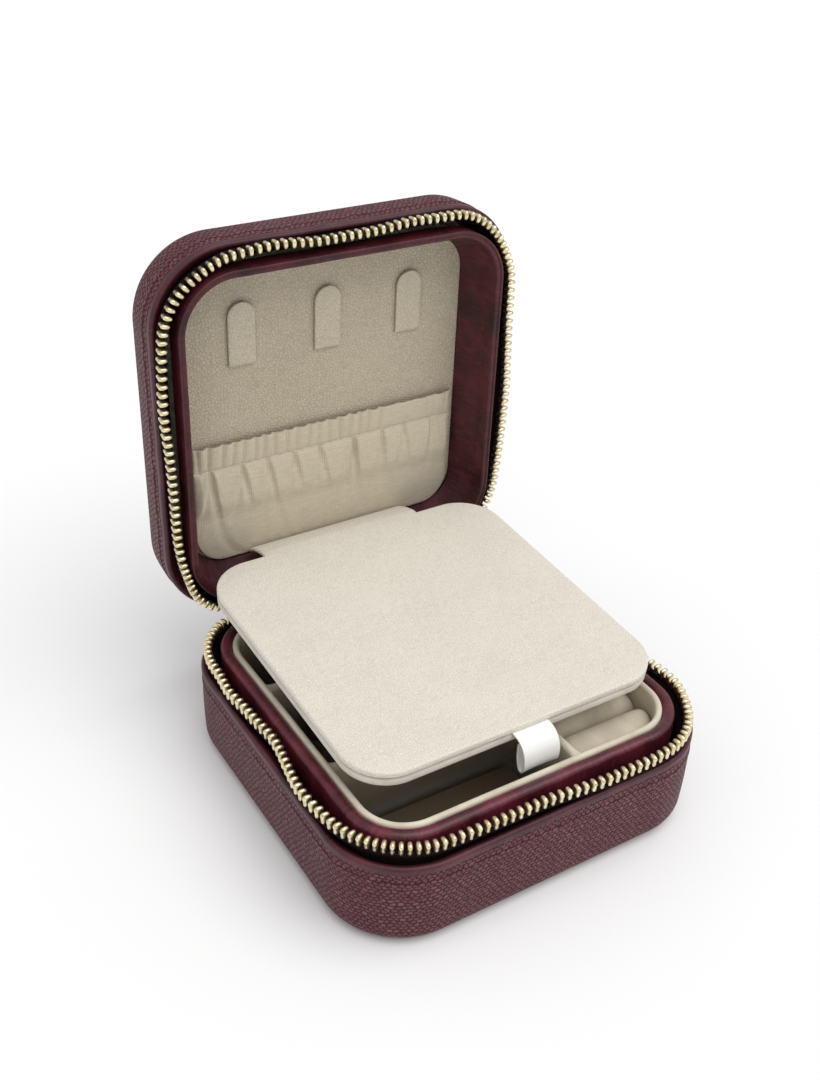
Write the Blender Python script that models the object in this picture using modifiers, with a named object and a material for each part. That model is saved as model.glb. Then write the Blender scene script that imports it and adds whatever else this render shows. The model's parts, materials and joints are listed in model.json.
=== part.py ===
"""Square zip-round leather travel jewellery case, standing open with its inner flap lifted off the tray.

Frame: metres, +Z up, origin at the middle of the base's underside, front of the case towards -Y.
Everything in the lid is modelled as the closed case has it and is turned open by its hinge empty.
"""
import bpy
import bmesh
from math import atan2, cos, pi, radians, sin, sqrt, tan

# case shells
CASE_WIDTH = 0.1000        # along X, outside the leather
CASE_DEPTH = 0.1000        # along Y, outside the leather
CORNER_RADIUS = 0.0200     # plan corner of the leather
BASE_HEIGHT = 0.0240       # table to the base's rim
LID_HEIGHT = 0.0146        # lid's rim to its outer face
ZIP_GAP = 0.0104           # between the two rims when closed
EDGE_ROUND = 0.0045        # rounding where the walls meet the bottom or the top
LEATHER = 0.0010
WALL_BOARD = 0.0015
RIM_BINDING = 0.0018       # height of the turned edge along each rim
CLEAR = 0.0003             # gap between neighbouring pieces

# hinge of the lid
HINGE_INSET = 0.0025       # axis, in from the outside of the back wall
LID_OPEN_DEG = 90.0        # from closed to the stored open position

# zip
TAPE = 0.0009
TAPE_ROOT = 0.0080         # tape held below the rim
TAPE_SHOW = 0.0022         # tape standing above the rim
CHAIN_WIDTH = 0.0022
CHAIN_HEIGHT = 0.0024
ZIP_END_IN = 0.0010        # teeth end this far past the rear corners
SLIDER_LENGTH = 0.0068
SLIDER_UP = 0.0017         # slider's faces, from the hinge axis
SLIDER_DOWN = 0.0025
SLIDER_IN = 0.0017
SLIDER_OUT = 0.0010
BAIL_OUT = 0.0009          # bail beyond the back wall's face
BAIL_WIDTH = 0.0022
BAIL_HEIGHT = 0.0014
BAIL_DOWN = 0.0018         # bail's middle below the hinge axis
PULL_LENGTH = 0.0150
PULL_WIDTH = 0.0040
PULL_THICK = 0.0009
STOP_LENGTH = 0.0020

# spine leather across the back
SPINE_SIDE = 0.0010        # spine to the slider
SPINE_REACH = 0.0085       # along each wall from the hinge axis
SPINE_STEPS = 5

# padded leather collars
BASE_COLLAR = 0.0022
LID_COLLAR = 0.0020
LID_COLLAR_UPRIGHT = 0.0052   # hinge plane to where the lid's collar starts to lean in
LID_COLLAR_LEAN = 0.0032   # how far it leans in at its foot
LID_COLLAR_FOOT = 0.0110   # outer plan corner of the lid collar's foot

# tray
TRAY_WALL = 0.0022
TRAY_RIM_DROP = 0.0001     # rim below the collar's top
DIVIDER = 0.0022
DIVIDER_DROP = 0.0015      # dividers below the tray's rim
LONG_DIVIDER_X = 0.0120
CROSS_DIVIDER_Y = (-0.0148, 0.0172)
ROLL_COUNT = 7
ROLL_TOP = 0.0045          # ring rolls' crowns below the tray's rim
ROLL_GAP = 0.0003

# lid lining
PANEL_DEPTH = 0.0135       # hinge plane to the panel's face, lid closed
TONGUE_PITCH = 0.0238
TONGUE_WIDTH = 0.0074
TONGUE_LENGTH = 0.0167
TONGUE = 0.0009
TONGUE_FOOT = 0.0629       # hinge axis to the tongues' creases, along the lid
POCKET = 0.0015
POCKET_EDGE = 0.0006       # pocket to the foot of the lid's collar
POCKET_TOP = 0.0420
HEM_HEIGHT = 0.0018
HEM = 0.0018

# inner flap
FLAP_SIDE = 0.00085        # flap to the lid's collar, lid closed
FLAP_END = 0.00125
FLAP_CORNER_EASE = 0.00155 # flap's corners rounded this much tighter than the collar
FLAP_TOP = 0.0020
FLAP_LOWER = 0.0019
FLAP_LOWER_INSET = 0.0005
FLAP_TILT_DEG = 3.0        # front edge lower than the fold
FOLD_ABOVE = 0.0006        # flap's top face above its fold with the tab
FOLD_BACK = 0.0028         # fold behind and above the lid's hinge axis, lid open
FOLD_UP = 0.0126
FOLD_GAP = 0.0010          # fold to the boards
SHUT_GAP = 0.0004          # flap to the tray's rim, lid closed
TAB_ROOT_UP = 0.0098       # tab's root above the hinge axis, lid open
TAB_ROOT_OFF = 0.0006      # tab's root in front of the pocket
TAB_LEFT = -0.0245
TAB_RIGHT = 0.0225
TAB = 0.0010
TAB_FOLD_GAP = 0.0024      # fold to the tab's end
RIBBON_WIDTH = 0.0098
RIBBON = 0.0005
RIBBON_BEND = 0.0030       # radius of the ribbon's turn over the flap's edge
RIBBON_DROP = 0.0048       # straight length below the bend

# looks: colour, roughness, metallic
BURGUNDY = ((0.150, 0.035, 0.050), 0.50, 0.0)
BINDING = ((0.170, 0.045, 0.062), 0.42, 0.0)
COLLAR = ((0.110, 0.020, 0.032), 0.32, 0.0)
GREY_BOARD = ((0.300, 0.290, 0.270), 0.90, 0.0)
BLACK_TAPE = ((0.012, 0.011, 0.012), 0.85, 0.0)
GOLD = ((0.780, 0.640, 0.400), 0.30, 1.0)
CREAM_LEATHER = ((0.640, 0.585, 0.490), 0.60, 0.0)
VELVET = ((0.560, 0.500, 0.400), 0.95, 0.0)
POCKET_CLOTH = ((0.600, 0.540, 0.430), 0.90, 0.0)
SATIN = ((0.860, 0.850, 0.820), 0.35, 0.0)

CORNER_STEPS = 6
EDGE_STEPS = 3

HALF_X = CASE_WIDTH / 2
HALF_Y = CASE_DEPTH / 2
HINGE_Y = HALF_Y - HINGE_INSET
HINGE_Z = BASE_HEIGHT + ZIP_GAP / 2
RIM_OFF = ZIP_GAP / 2                                  # hinge plane to either rim
BOARD_INSET = LEATHER + CLEAR
LINING_INSET = BOARD_INSET + WALL_BOARD                # inner face of the wall boards
TAPE_INSET = LINING_INSET + CLEAR
CHAIN_INSET = TAPE_INSET + TAPE / 2 - CHAIN_WIDTH / 2
COLLAR_INSET = max(CHAIN_INSET + CHAIN_WIDTH, TAPE_INSET + TAPE) + CLEAR
TRAY_INSET = COLLAR_INSET + BASE_COLLAR + CLEAR
FLOOR_TOP = LEATHER + CLEAR + WALL_BOARD
COLLAR_TOP = HINGE_Z - CLEAR
TRAY_RIM = COLLAR_TOP - TRAY_RIM_DROP
TRAY_LOW = FLOOR_TOP + CLEAR
TRAY_CORNER = CORNER_RADIUS - TRAY_INSET
TRAY_INNER = TRAY_INSET + TRAY_WALL + CLEAR            # what stands in the tray
LID_TOP = RIM_OFF + LID_HEIGHT                         # hinge plane to the lid's outer face
ZIP_END_X = HALF_X - CORNER_RADIUS - ZIP_END_IN
SPINE_HALF = ZIP_END_X - CLEAR - SLIDER_LENGTH - SPINE_SIDE
CHAIN_FAR = CLEAR + CHAIN_HEIGHT                       # hinge plane to the teeth's roots
PANEL = LID_TOP - LEATHER - WALL_BOARD - 2 * CLEAR - PANEL_DEPTH
LID_ROOM = COLLAR_INSET + LID_COLLAR                   # case's outside to the lid's opening
LINING_EDGE = LID_ROOM + LID_COLLAR_LEAN + POCKET_EDGE
POCKET_HALF = HALF_X - LINING_EDGE
POCKET_FOOT = LINING_EDGE - HINGE_INSET
POCKET_CORNER = LID_COLLAR_FOOT - LID_COLLAR
FLAP_WIDTH = 2 * (HALF_X - LID_ROOM - FLAP_SIDE)
FLAP_LENGTH = 2 * (HALF_Y - LID_ROOM - FLAP_END)
FLAP_CORNER = CORNER_RADIUS - LID_ROOM - FLAP_CORNER_EASE
FOLD_Y = HINGE_Y + FOLD_BACK
FOLD_Z = HINGE_Z + FOLD_UP
POCKET_FACE = PANEL_DEPTH - CLEAR - POCKET
TAB_ROOT_Y = HINGE_Y + POCKET_FACE - TAB_ROOT_OFF
TAB_ROOT_Z = HINGE_Z + TAB_ROOT_UP
TAB_SPAN = sqrt((TAB_ROOT_Y - FOLD_Y) ** 2 + (FOLD_Z - TAB_ROOT_Z) ** 2)
SHUT_FOLD_Y = HALF_Y - LID_ROOM - FLAP_SIDE            # where the fold lies once the lid is closed
SHUT_FOLD_Z = TRAY_RIM + SHUT_GAP + FLAP_LOWER + CLEAR + FLAP_TOP - FOLD_ABOVE

for old in list(bpy.data.objects):
    bpy.data.objects.remove(old, do_unlink=True)

case = bpy.data.collections.new("leather_jewellery_case")
bpy.context.scene.collection.children.link(case)
cutters = bpy.data.collections.new("cutters")
bpy.context.scene.collection.children.link(cutters)


def material(name, colour, roughness, metallic=0.0):
    """A plain Principled material."""
    made = bpy.data.materials.new(name)
    made.use_nodes = True
    shader = made.node_tree.nodes["Principled BSDF"]
    shader.inputs["Base Color"].default_value = (*colour, 1.0)
    shader.inputs["Roughness"].default_value = roughness
    shader.inputs["Metallic"].default_value = metallic
    return made


def empty(name, place, turn_x=0.0):
    """An axis marker that carries the pieces of one moving body."""
    axis = bpy.data.objects.new(name, None)
    axis.location = place
    axis.rotation_euler = (turn_x, 0.0, 0.0)
    case.objects.link(axis)
    return axis


def finish(name, bm, look, parent=None, thick=0.0):
    """Turn a bmesh into a named object; a thickness above 0 thickens an open sheet inwards."""
    mesh = bpy.data.meshes.new(name)
    bm.to_mesh(mesh)
    bm.free()
    mesh.materials.append(material(name, *look))
    made = bpy.data.objects.new(name, mesh)
    case.objects.link(made)
    made.parent = parent
    if thick:
        solid = made.modifiers.new("wall", "SOLIDIFY")
        solid.thickness = thick
        solid.offset = -1.0
        solid.use_even_offset = True
    return made


def outline(inset, radius):
    """Rounded rectangle inside the case's plan, anticlockwise from the middle of the back."""
    x = HALF_X - inset
    y = HALF_Y - inset
    points = [(0.0, y)]
    corners = ((-1, 1, 90), (-1, -1, 180), (1, -1, 270), (1, 1, 0))
    for side_x, side_y, start in corners:
        for step in range(CORNER_STEPS + 1):
            turn = radians(start + 90.0 * step / CORNER_STEPS)
            points.append((side_x * (x - radius) + radius * cos(turn), side_y * (y - radius) + radius * sin(turn)))
    return points


def zip_path(inset, radius):
    """The outline without the toothless stretch across the back."""
    y = HALF_Y - inset
    return [(-ZIP_END_X, y)] + outline(inset, radius)[1:] + [(ZIP_END_X, y)]


def wall(name, inset, low_z, high_z, thick, look, parent=None, path=outline, lean=None):
    """A wall that follows the case's plan, thickened towards the inside.

    lean gives the height where the wall starts to lean in, how far it leans and its foot's plan corner.
    """
    upright = path(inset, CORNER_RADIUS - inset)
    rings = [(low_z, upright), (high_z, upright)]
    if lean:
        start, reach, foot = lean
        rings[1:] = [(start, upright), (high_z, path(inset + reach, foot))]
    bm = bmesh.new()
    rows = [[bm.verts.new((x, y, z)) for x, y in line] for z, line in rings]
    for row, following in zip(rows, rows[1:]):
        for i in range(len(row) - (path is not outline)):
            j = (i + 1) % len(row)
            bm.faces.new((row[i], row[j], following[j], following[i]))
    bmesh.ops.recalc_face_normals(bm, faces=bm.faces)
    bm.normal_update()
    middle = [(face.normal, face.calc_center_median()) for face in bm.faces]
    if sum(normal.x * place.x + normal.y * place.y for normal, place in middle) < 0.0:
        bmesh.ops.reverse_faces(bm, faces=bm.faces)
    if parent:
        bmesh.ops.translate(bm, verts=bm.verts, vec=(0.0, -HINGE_Y, 0.0))
    return finish(name, bm, look, parent, thick)


def block(name, low, high, look, parent=None, corner=0.0, steps=CORNER_STEPS, axis=2):
    """A box between two corners, with its four edges along one axis rounded."""
    bm = bmesh.new()
    bmesh.ops.create_cube(bm, size=1.0)
    bmesh.ops.scale(bm, verts=bm.verts, vec=[b - a for a, b in zip(low, high)])
    bmesh.ops.translate(bm, verts=bm.verts, vec=[(a + b) / 2 for a, b in zip(low, high)])
    if corner:
        along = [edge for edge in bm.edges
                 if abs((edge.verts[0].co - edge.verts[1].co)[axis]) > 0.9 * (high[axis] - low[axis])]
        bmesh.ops.bevel(bm, geom=along, offset=corner, segments=steps, profile=0.5, affect="EDGES")
    return finish(name, bm, look, parent)


def cover(name, inset, shut_z, open_z, thick, look, parent=None, rounding=EDGE_ROUND):
    """A tray-shaped shell following the case's plan: closed and rounded at one end, open at the other."""
    bm = bmesh.new()
    bmesh.ops.create_cube(bm, size=1.0)
    size = (CASE_WIDTH - 2 * inset, CASE_DEPTH - 2 * inset, abs(open_z - shut_z))
    bmesh.ops.scale(bm, verts=bm.verts, vec=size)
    bmesh.ops.translate(bm, verts=bm.verts, vec=(0.0, 0.0, (open_z + shut_z) / 2))
    upright = [edge for edge in bm.edges if abs(edge.verts[0].co.z - edge.verts[1].co.z) > size[2] / 2]
    bmesh.ops.bevel(bm, geom=upright, offset=CORNER_RADIUS - inset, segments=CORNER_STEPS, profile=0.5, affect="EDGES")
    mouth = [face for face in bm.faces if all(abs(vert.co.z - open_z) < CLEAR for vert in face.verts)]
    bmesh.ops.delete(bm, geom=mouth, context="FACES")
    if rounding:
        turn = [edge for edge in bm.edges if all(abs(vert.co.z - shut_z) < CLEAR for vert in edge.verts)]
        bmesh.ops.bevel(bm, geom=turn, offset=rounding, segments=EDGE_STEPS, profile=0.5, affect="EDGES")
    if parent:
        bmesh.ops.translate(bm, verts=bm.verts, vec=(0.0, -HINGE_Y, 0.0))
    return finish(name, bm, look, parent, thick)


def strip(name, path, low_x, high_x, thick, look, parent=None):
    """A band of cloth or leather: a line in the YZ plane drawn out along X."""
    bm = bmesh.new()
    line = [bm.verts.new((low_x, y, z)) for y, z in path]
    edges = [bm.edges.new(pair) for pair in zip(line, line[1:])]
    raised = bmesh.ops.extrude_edge_only(bm, edges=edges)["geom"]
    drawn = [item for item in raised if isinstance(item, bmesh.types.BMVert)]
    bmesh.ops.translate(bm, verts=drawn, vec=(high_x - low_x, 0.0, 0.0))
    bmesh.ops.recalc_face_normals(bm, faces=bm.faces)
    made = finish(name, bm, look, parent, thick)
    made.modifiers["wall"].offset = 0.0
    return made


def cut(made, tool, operation):
    """Keep the Boolean of a piece with a hidden tool."""
    if tool.name in case.objects:
        case.objects.unlink(tool)
        cutters.objects.link(tool)
    tool.hide_render = True
    tool.display_type = "WIRE"
    boolean = made.modifiers.new(operation.lower(), "BOOLEAN")
    boolean.object = tool
    boolean.operation = operation
    boolean.solver = "EXACT"


def make_shell(half, parent, outer_z, rim_z):
    """Leather cover, board, wall board and rim binding of the base or the lid."""
    up = 1.0 if rim_z > outer_z else -1.0
    binding_z = rim_z - up * RIM_BINDING
    shift = -HINGE_Y if parent else 0.0
    cover(half + "_leather_cover", 0.0, outer_z, binding_z - up * CLEAR, LEATHER, BURGUNDY, parent)
    board_z = sorted((outer_z + up * (LEATHER + CLEAR), outer_z + up * (LEATHER + CLEAR + WALL_BOARD)))
    board_inset = EDGE_ROUND + CLEAR / 2
    x = HALF_X - board_inset
    y = HALF_Y - board_inset
    name = "base_bottom_board" if half == "base" else "lid_top_board"
    block(name, (-x, shift - y, board_z[0]), (x, shift + y, board_z[1]), GREY_BOARD, parent,
          CORNER_RADIUS - board_inset)
    wall_z = sorted((outer_z + up * board_inset, binding_z - up * CLEAR))
    wall(half + "_wall_board", BOARD_INSET, *wall_z, WALL_BOARD, GREY_BOARD, parent)
    wall(half + "_rim_binding", 0.0, *sorted((binding_z, rim_z)), LINING_INSET, BINDING, parent)


def make_zip_half(half, parent, plane_z, away):
    """Tape and toothed chain along one rim; away is +1 or -1 from the zip's middle plane to the rim."""
    teeth = sorted((plane_z + away * CLEAR, plane_z + away * CHAIN_FAR))
    wall(half + "_zip_chain", CHAIN_INSET, *teeth, CHAIN_WIDTH, GOLD, parent, zip_path)
    tape = sorted((plane_z + away * (CHAIN_FAR + CLEAR), plane_z + away * (RIM_OFF + TAPE_ROOT)))
    wall(half + "_zip_tape", TAPE_INSET, *tape, TAPE, BLACK_TAPE, parent, zip_path)


def make_base():
    """The lower half of the case and its zip."""
    make_shell("base", None, 0.0, BASE_HEIGHT)
    make_zip_half("base", None, HINGE_Z, -1.0)
    wall("base_collar", COLLAR_INSET, FLOOR_TOP + CLEAR, COLLAR_TOP, BASE_COLLAR, COLLAR)
    inner = HINGE_Y - SLIDER_IN
    outer = HINGE_Y + SLIDER_OUT
    low = HINGE_Z - SLIDER_DOWN
    high = HINGE_Z + SLIDER_UP
    far = ZIP_END_X - CLEAR
    slider = block("zip_slider", (far - SLIDER_LENGTH, inner, low), (far, outer, high), GOLD)
    middle = far - SLIDER_LENGTH / 2
    bail_z = HINGE_Z - BAIL_DOWN
    bail = block("slider_bail", (middle - BAIL_WIDTH / 2, outer - SLIDER_OUT, bail_z - BAIL_HEIGHT / 2),
                 (middle + BAIL_WIDTH / 2, HALF_Y + BAIL_OUT, bail_z + BAIL_HEIGHT / 2), GOLD)
    cut(slider, bail, "UNION")
    block("zip_bottom_stop", (-far, inner, low), (STOP_LENGTH - far, outer, high), GOLD)
    axis = empty("pull_axis", (middle, HALF_Y + CLEAR + PULL_THICK / 2, bail_z - BAIL_HEIGHT / 2 + CLEAR))
    block("zip_pull", (-PULL_WIDTH / 2, -PULL_THICK / 2, -2 * CLEAR - PULL_LENGTH),
          (PULL_WIDTH / 2, PULL_THICK / 2, -2 * CLEAR), GOLD, axis, PULL_WIDTH / 3, 3, axis=1)


def make_tray():
    """Velvet tray with its dividers and the ring rolls of its right-hand column."""
    cover("tray_shell", TRAY_INSET, TRAY_LOW, TRAY_RIM, TRAY_WALL, VELVET, rounding=0.0)
    floor = TRAY_LOW + TRAY_WALL + CLEAR
    x = HALF_X - TRAY_INNER
    y = HALF_Y - TRAY_INNER
    top = TRAY_RIM - DIVIDER_DROP
    left = LONG_DIVIDER_X - DIVIDER / 2
    block("tray_long_divider", (left, -y, floor), (left + DIVIDER, y, top), VELVET)
    for number, middle in enumerate(CROSS_DIVIDER_Y, 1):
        block(f"tray_cross_divider_{number}", (-x, middle - DIVIDER / 2, floor),
              (left - CLEAR, middle + DIVIDER / 2, top), VELVET)
    room = cover("tray_room", TRAY_INNER, floor - CLEAR, TRAY_RIM, 0.0, VELVET, rounding=0.0)
    fill_mouth(room.data)
    pitch = (2 * y + ROLL_GAP) / ROLL_COUNT
    for number in range(ROLL_COUNT):
        front = -y + number * pitch
        crown = block(f"ring_roll_{number + 1}", (left + DIVIDER + CLEAR, front, floor),
                      (x, front + pitch - ROLL_GAP, TRAY_RIM - ROLL_TOP), VELVET)
        round_edges(crown.data, lambda a, b: min(a.z, b.z) > floor + CLEAR and abs(a.x - b.x) > DIVIDER, 0.45 * pitch, 4)
        cut(crown, room, "INTERSECT")


def round_edges(mesh, chosen, radius, steps):
    """Round the edges of a mesh that chosen picks out."""
    bm = bmesh.new()
    bm.from_mesh(mesh)
    edges = [edge for edge in bm.edges if chosen(*(vert.co for vert in edge.verts))]
    bmesh.ops.bevel(bm, geom=edges, offset=radius, segments=steps, profile=0.5, affect="EDGES")
    bm.to_mesh(mesh)
    bm.free()


def fill_mouth(mesh):
    """Close the open end of a shell's surface, so that it can trim other pieces."""
    bm = bmesh.new()
    bm.from_mesh(mesh)
    bmesh.ops.holes_fill(bm, edges=[edge for edge in bm.edges if edge.is_boundary])
    bm.to_mesh(mesh)
    bm.free()


def make_tongue(number, x, lid):
    """One of the leather tongues that necklaces hang on: a strap with a round free end, creased at its foot."""
    axis = empty(f"tongue_{number}_axis", (x, -TONGUE_FOOT, PANEL_DEPTH - CLEAR))
    axis.parent = lid
    half = TONGUE_WIDTH / 2
    straight = TONGUE_LENGTH - half
    points = [(half * cos(pi * step / 10), -straight - half * sin(pi * step / 10)) for step in range(11)]
    bm = bmesh.new()
    face = bm.faces.new([bm.verts.new((px, py, -TONGUE)) for px, py in [(-half, 0.0), (half, 0.0)] + points])
    grown = bmesh.ops.extrude_face_region(bm, geom=[face])["geom"]
    bmesh.ops.translate(bm, verts=[item for item in grown if isinstance(item, bmesh.types.BMVert)],
                        vec=(0.0, 0.0, TONGUE))
    bmesh.ops.recalc_face_normals(bm, faces=bm.faces)
    finish(f"necklace_tongue_{number}", bm, CREAM_LEATHER, axis)


def make_lid():
    """The upper half of the case with its lining, modelled shut and turned open by its hinge empty."""
    lid = empty("lid_hinge_axis", (0.0, HINGE_Y, HINGE_Z), -radians(LID_OPEN_DEG))
    make_shell("lid", lid, LID_TOP, RIM_OFF)
    make_zip_half("lid", lid, 0.0, 1.0)
    foot = PANEL_DEPTH - CLEAR
    wall("lid_collar", COLLAR_INSET, CLEAR, foot, LID_COLLAR, COLLAR, lid,
         lean=(LID_COLLAR_UPRIGHT, LID_COLLAR_LEAN, LID_COLLAR_FOOT))
    x = HALF_X - LID_ROOM
    y = HALF_Y - LID_ROOM
    block("lid_back_panel", (-x, -HINGE_Y - y, PANEL_DEPTH), (x, y - HINGE_Y, PANEL_DEPTH + PANEL),
          CREAM_LEATHER, lid, CORNER_RADIUS - LID_ROOM)
    pocket = block("lid_pocket", (-POCKET_HALF, -POCKET_TOP, POCKET_FACE), (POCKET_HALF, -POCKET_FOOT, foot),
                   POCKET_CLOTH, lid)
    round_edges(pocket.data, lambda a, b: abs(a.z - b.z) > CLEAR and min(a.y, b.y) > -POCKET_FOOT - CLEAR,
                POCKET_CORNER, CORNER_STEPS)
    hem_low = POCKET_TOP + CLEAR
    block("pocket_elastic_hem", (-POCKET_HALF, -hem_low - HEM_HEIGHT, foot - HEM), (POCKET_HALF, -hem_low, foot),
          POCKET_CLOTH, lid)
    for number in (1, 2, 3):
        make_tongue(number, (number - 2) * TONGUE_PITCH, lid)


def make_spine():
    """The leather spine: up the back of the base, round the hinge axis and along the lid's back wall."""
    off = TAPE_INSET + TAPE / 2 - HINGE_INSET
    arc = [(-off * cos(pi / 2 * step / SPINE_STEPS), off * sin(pi / 2 * step / SPINE_STEPS))
           for step in range(SPINE_STEPS + 1)]
    path = [(-off, -SPINE_REACH)] + arc + [(SPINE_REACH, off)]
    strip("rear_spine", [(HINGE_Y + y, HINGE_Z + z) for y, z in path], -SPINE_HALF, SPINE_HALF, TAPE, COLLAR)


def turn_centre(start, end, turn):
    """The still point of a turn in the YZ plane that carries start to end."""
    stretch = 2 * tan(turn / 2)
    return (start[0] + end[0] - 2 * (end[1] - start[1]) / stretch) / 2, \
        (start[1] + end[1] + 2 * (end[0] - start[0]) / stretch) / 2


def make_flap():
    """The two-board inner cover, its leather tab and the ribbon that lifts it.

    As the lid shuts, the tab lays the flap flat on the tray: against the lid, the flap makes one turn
    that carries its fold with the tab from the open place to the shut one.
    """
    rise = atan2(FOLD_Z - TAB_ROOT_Z, TAB_ROOT_Y - FOLD_Y)
    root = empty("tab_root_axis", (0.0, TAB_ROOT_Y, TAB_ROOT_Z), -rise)
    block("flap_hinge_tab", (TAB_LEFT, TAB_FOLD_GAP - TAB_SPAN, -TAB / 2), (TAB_RIGHT, -CLEAR, TAB / 2),
          CREAM_LEATHER, root)
    shut = (HINGE_Y + SHUT_FOLD_Z - HINGE_Z, HINGE_Z + HINGE_Y - SHUT_FOLD_Y)
    still_y, still_z = turn_centre((FOLD_Y, FOLD_Z), shut, -radians(LID_OPEN_DEG + FLAP_TILT_DEG))
    pivot = empty("flap_fold_axis", (0.0, still_y, still_z))
    flap = empty("flap_fold", (0.0, FOLD_Y - still_y, FOLD_Z - still_z), radians(FLAP_TILT_DEG))
    flap.parent = pivot
    half = FLAP_WIDTH / 2
    front = -FOLD_GAP - FLAP_LENGTH
    seam = FOLD_ABOVE - FLAP_TOP
    block("flap_top_board", (-half, front, seam), (half, -FOLD_GAP, FOLD_ABOVE), CREAM_LEATHER, flap, FLAP_CORNER)
    small = FLAP_LOWER_INSET
    under = seam - CLEAR
    block("flap_lower_board", (small - half, front + small, under - FLAP_LOWER),
          (half - small, -FOLD_GAP - small, under), VELVET, flap, FLAP_CORNER - small)
    start = front - CLEAR
    level = under - RIBBON
    arc = [(start - CLEAR - RIBBON_BEND * sin(pi / 2 * step / SPINE_STEPS),
            level - RIBBON_BEND * (1 - cos(pi / 2 * step / SPINE_STEPS))) for step in range(SPINE_STEPS + 1)]
    path = [(start, level)] + arc + [(arc[-1][0], arc[-1][1] - RIBBON_DROP)]
    strip("ribbon_pull", path, -RIBBON_WIDTH / 2, RIBBON_WIDTH / 2, RIBBON, SATIN, flap)


make_base()
make_tray()
make_lid()
make_spine()
make_flap()
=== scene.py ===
import json
from math import cos, pi, radians, sin

import bpy
import numpy as np
from mathutils import Matrix, Vector


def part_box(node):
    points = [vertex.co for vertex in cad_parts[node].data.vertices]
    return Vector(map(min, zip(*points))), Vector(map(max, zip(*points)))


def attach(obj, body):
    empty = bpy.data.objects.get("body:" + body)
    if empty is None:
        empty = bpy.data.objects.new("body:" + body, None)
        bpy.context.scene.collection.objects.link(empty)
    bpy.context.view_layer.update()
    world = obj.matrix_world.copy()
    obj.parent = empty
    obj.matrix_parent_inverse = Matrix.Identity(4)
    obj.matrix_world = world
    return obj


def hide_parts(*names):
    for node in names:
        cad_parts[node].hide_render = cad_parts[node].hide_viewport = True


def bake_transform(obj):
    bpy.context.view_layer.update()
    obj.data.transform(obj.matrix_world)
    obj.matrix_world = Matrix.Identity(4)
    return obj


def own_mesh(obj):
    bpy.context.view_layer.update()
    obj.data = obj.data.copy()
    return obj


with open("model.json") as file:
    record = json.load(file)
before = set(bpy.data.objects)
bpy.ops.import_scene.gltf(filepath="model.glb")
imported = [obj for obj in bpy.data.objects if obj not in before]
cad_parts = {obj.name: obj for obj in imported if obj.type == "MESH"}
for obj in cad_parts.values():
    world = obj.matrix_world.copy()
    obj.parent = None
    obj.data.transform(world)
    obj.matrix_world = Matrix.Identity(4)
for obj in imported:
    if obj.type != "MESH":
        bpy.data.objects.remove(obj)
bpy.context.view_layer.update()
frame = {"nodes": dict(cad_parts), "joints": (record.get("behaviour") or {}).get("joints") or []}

# All shapes below are worked out in millimetres and put into the meshes in metres.
# u is the length along a rim, h the distance from the zip's middle plane towards a shell's outer face.


def boxOf(node):
    low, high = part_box(node)
    return np.array(low) * 1000.0, np.array(high) * 1000.0


case = {
    "half": boxOf("base_leather_cover")[1][0],      # outside of the leather
    "corner": 20.0,
    "baseRim": boxOf("base_rim_binding")[1][2],
    "lidBack": boxOf("lid_leather_cover")[1][1],
    "alongCount": 560,                              # steps round a rim
}
hinge = np.array(next(j for j in frame["joints"] if j["name"] == "lid_hinge")["pos_m"]) * 1000.0
case["hingeY"], case["hingeZ"] = hinge[1], hinge[2]
case["rimH"] = case["hingeZ"] - case["baseRim"]
case["deep"] = {"base": case["hingeZ"], "lid": case["lidBack"] - case["hingeY"]}


def outline(halfX, halfY, corner, at):
    # four quarter circles joined by straight runs, read at given shares of the whole length,
    # anticlockwise from the middle of the back; gives places, outward normals and length along
    turn = np.linspace(0.0, pi / 2, 65)
    line, out = [np.array([[0.0, halfY]])], [np.array([[0.0, 1.0]])]
    for quarter, side in enumerate(((-1, 1), (-1, -1), (1, -1), (1, 1))):
        angle = turn + pi / 2 * (quarter + 1)
        around = np.stack([np.cos(angle), np.sin(angle)], 1)
        line.append(np.array([halfX - corner, halfY - corner]) * side + corner * around)
        out.append(around)
    line, out = np.concatenate(line + line[:1]), np.concatenate(out + out[:1])
    along = np.r_[0.0, np.cumsum(np.hypot(*np.diff(line, axis=0).T))]
    u = np.asarray(at) * along[-1]
    places = np.stack([np.interp(u, along, line[:, k]) for k in (0, 1)], 1)
    normals = np.stack([np.interp(u, along, out[:, k]) for k in (0, 1)], 1)
    return places, normals / np.linalg.norm(normals, axis=1, keepdims=True), u


def sweep(rim, inset, height, shrink=None):
    # every profile point (inset, height) runs round the rim: place = rim - inset * normal,
    # then shrunk to the middle
    places, normals, _ = rim
    inset, height = np.broadcast_arrays(np.asarray(inset, float), np.asarray(height, float))
    if inset.ndim == 1:
        inset, height = inset[:, None], height[:, None]
    flat = places[None] - inset[..., None] * normals[None]
    if shrink is not None:
        flat = flat * np.asarray(shrink)[:, None, None]
    tall = np.broadcast_to(height, flat.shape[:2])
    return np.concatenate([flat, tall[..., None]], 2)


def intoHalf(grid, half):
    # (x, y, h) of the closed case to the open case:
    # the base hangs below the zip's plane, the lid stands behind it
    x, y, h = grid[..., 0], grid[..., 1], grid[..., 2]
    if half == "base":
        return np.stack([x, y, case["hingeZ"] - h], -1)
    return np.stack([x, case["hingeY"] + h, case["hingeZ"] - (y - case["hingeY"])], -1)


def lengths(line, closed):
    # running length along a line of places
    step = np.linalg.norm(np.diff(line, axis=0), axis=1)
    total = np.r_[0.0, np.cumsum(step)]
    return np.r_[total, total[-1] + np.linalg.norm(line[0] - line[-1])] if closed else total


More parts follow.
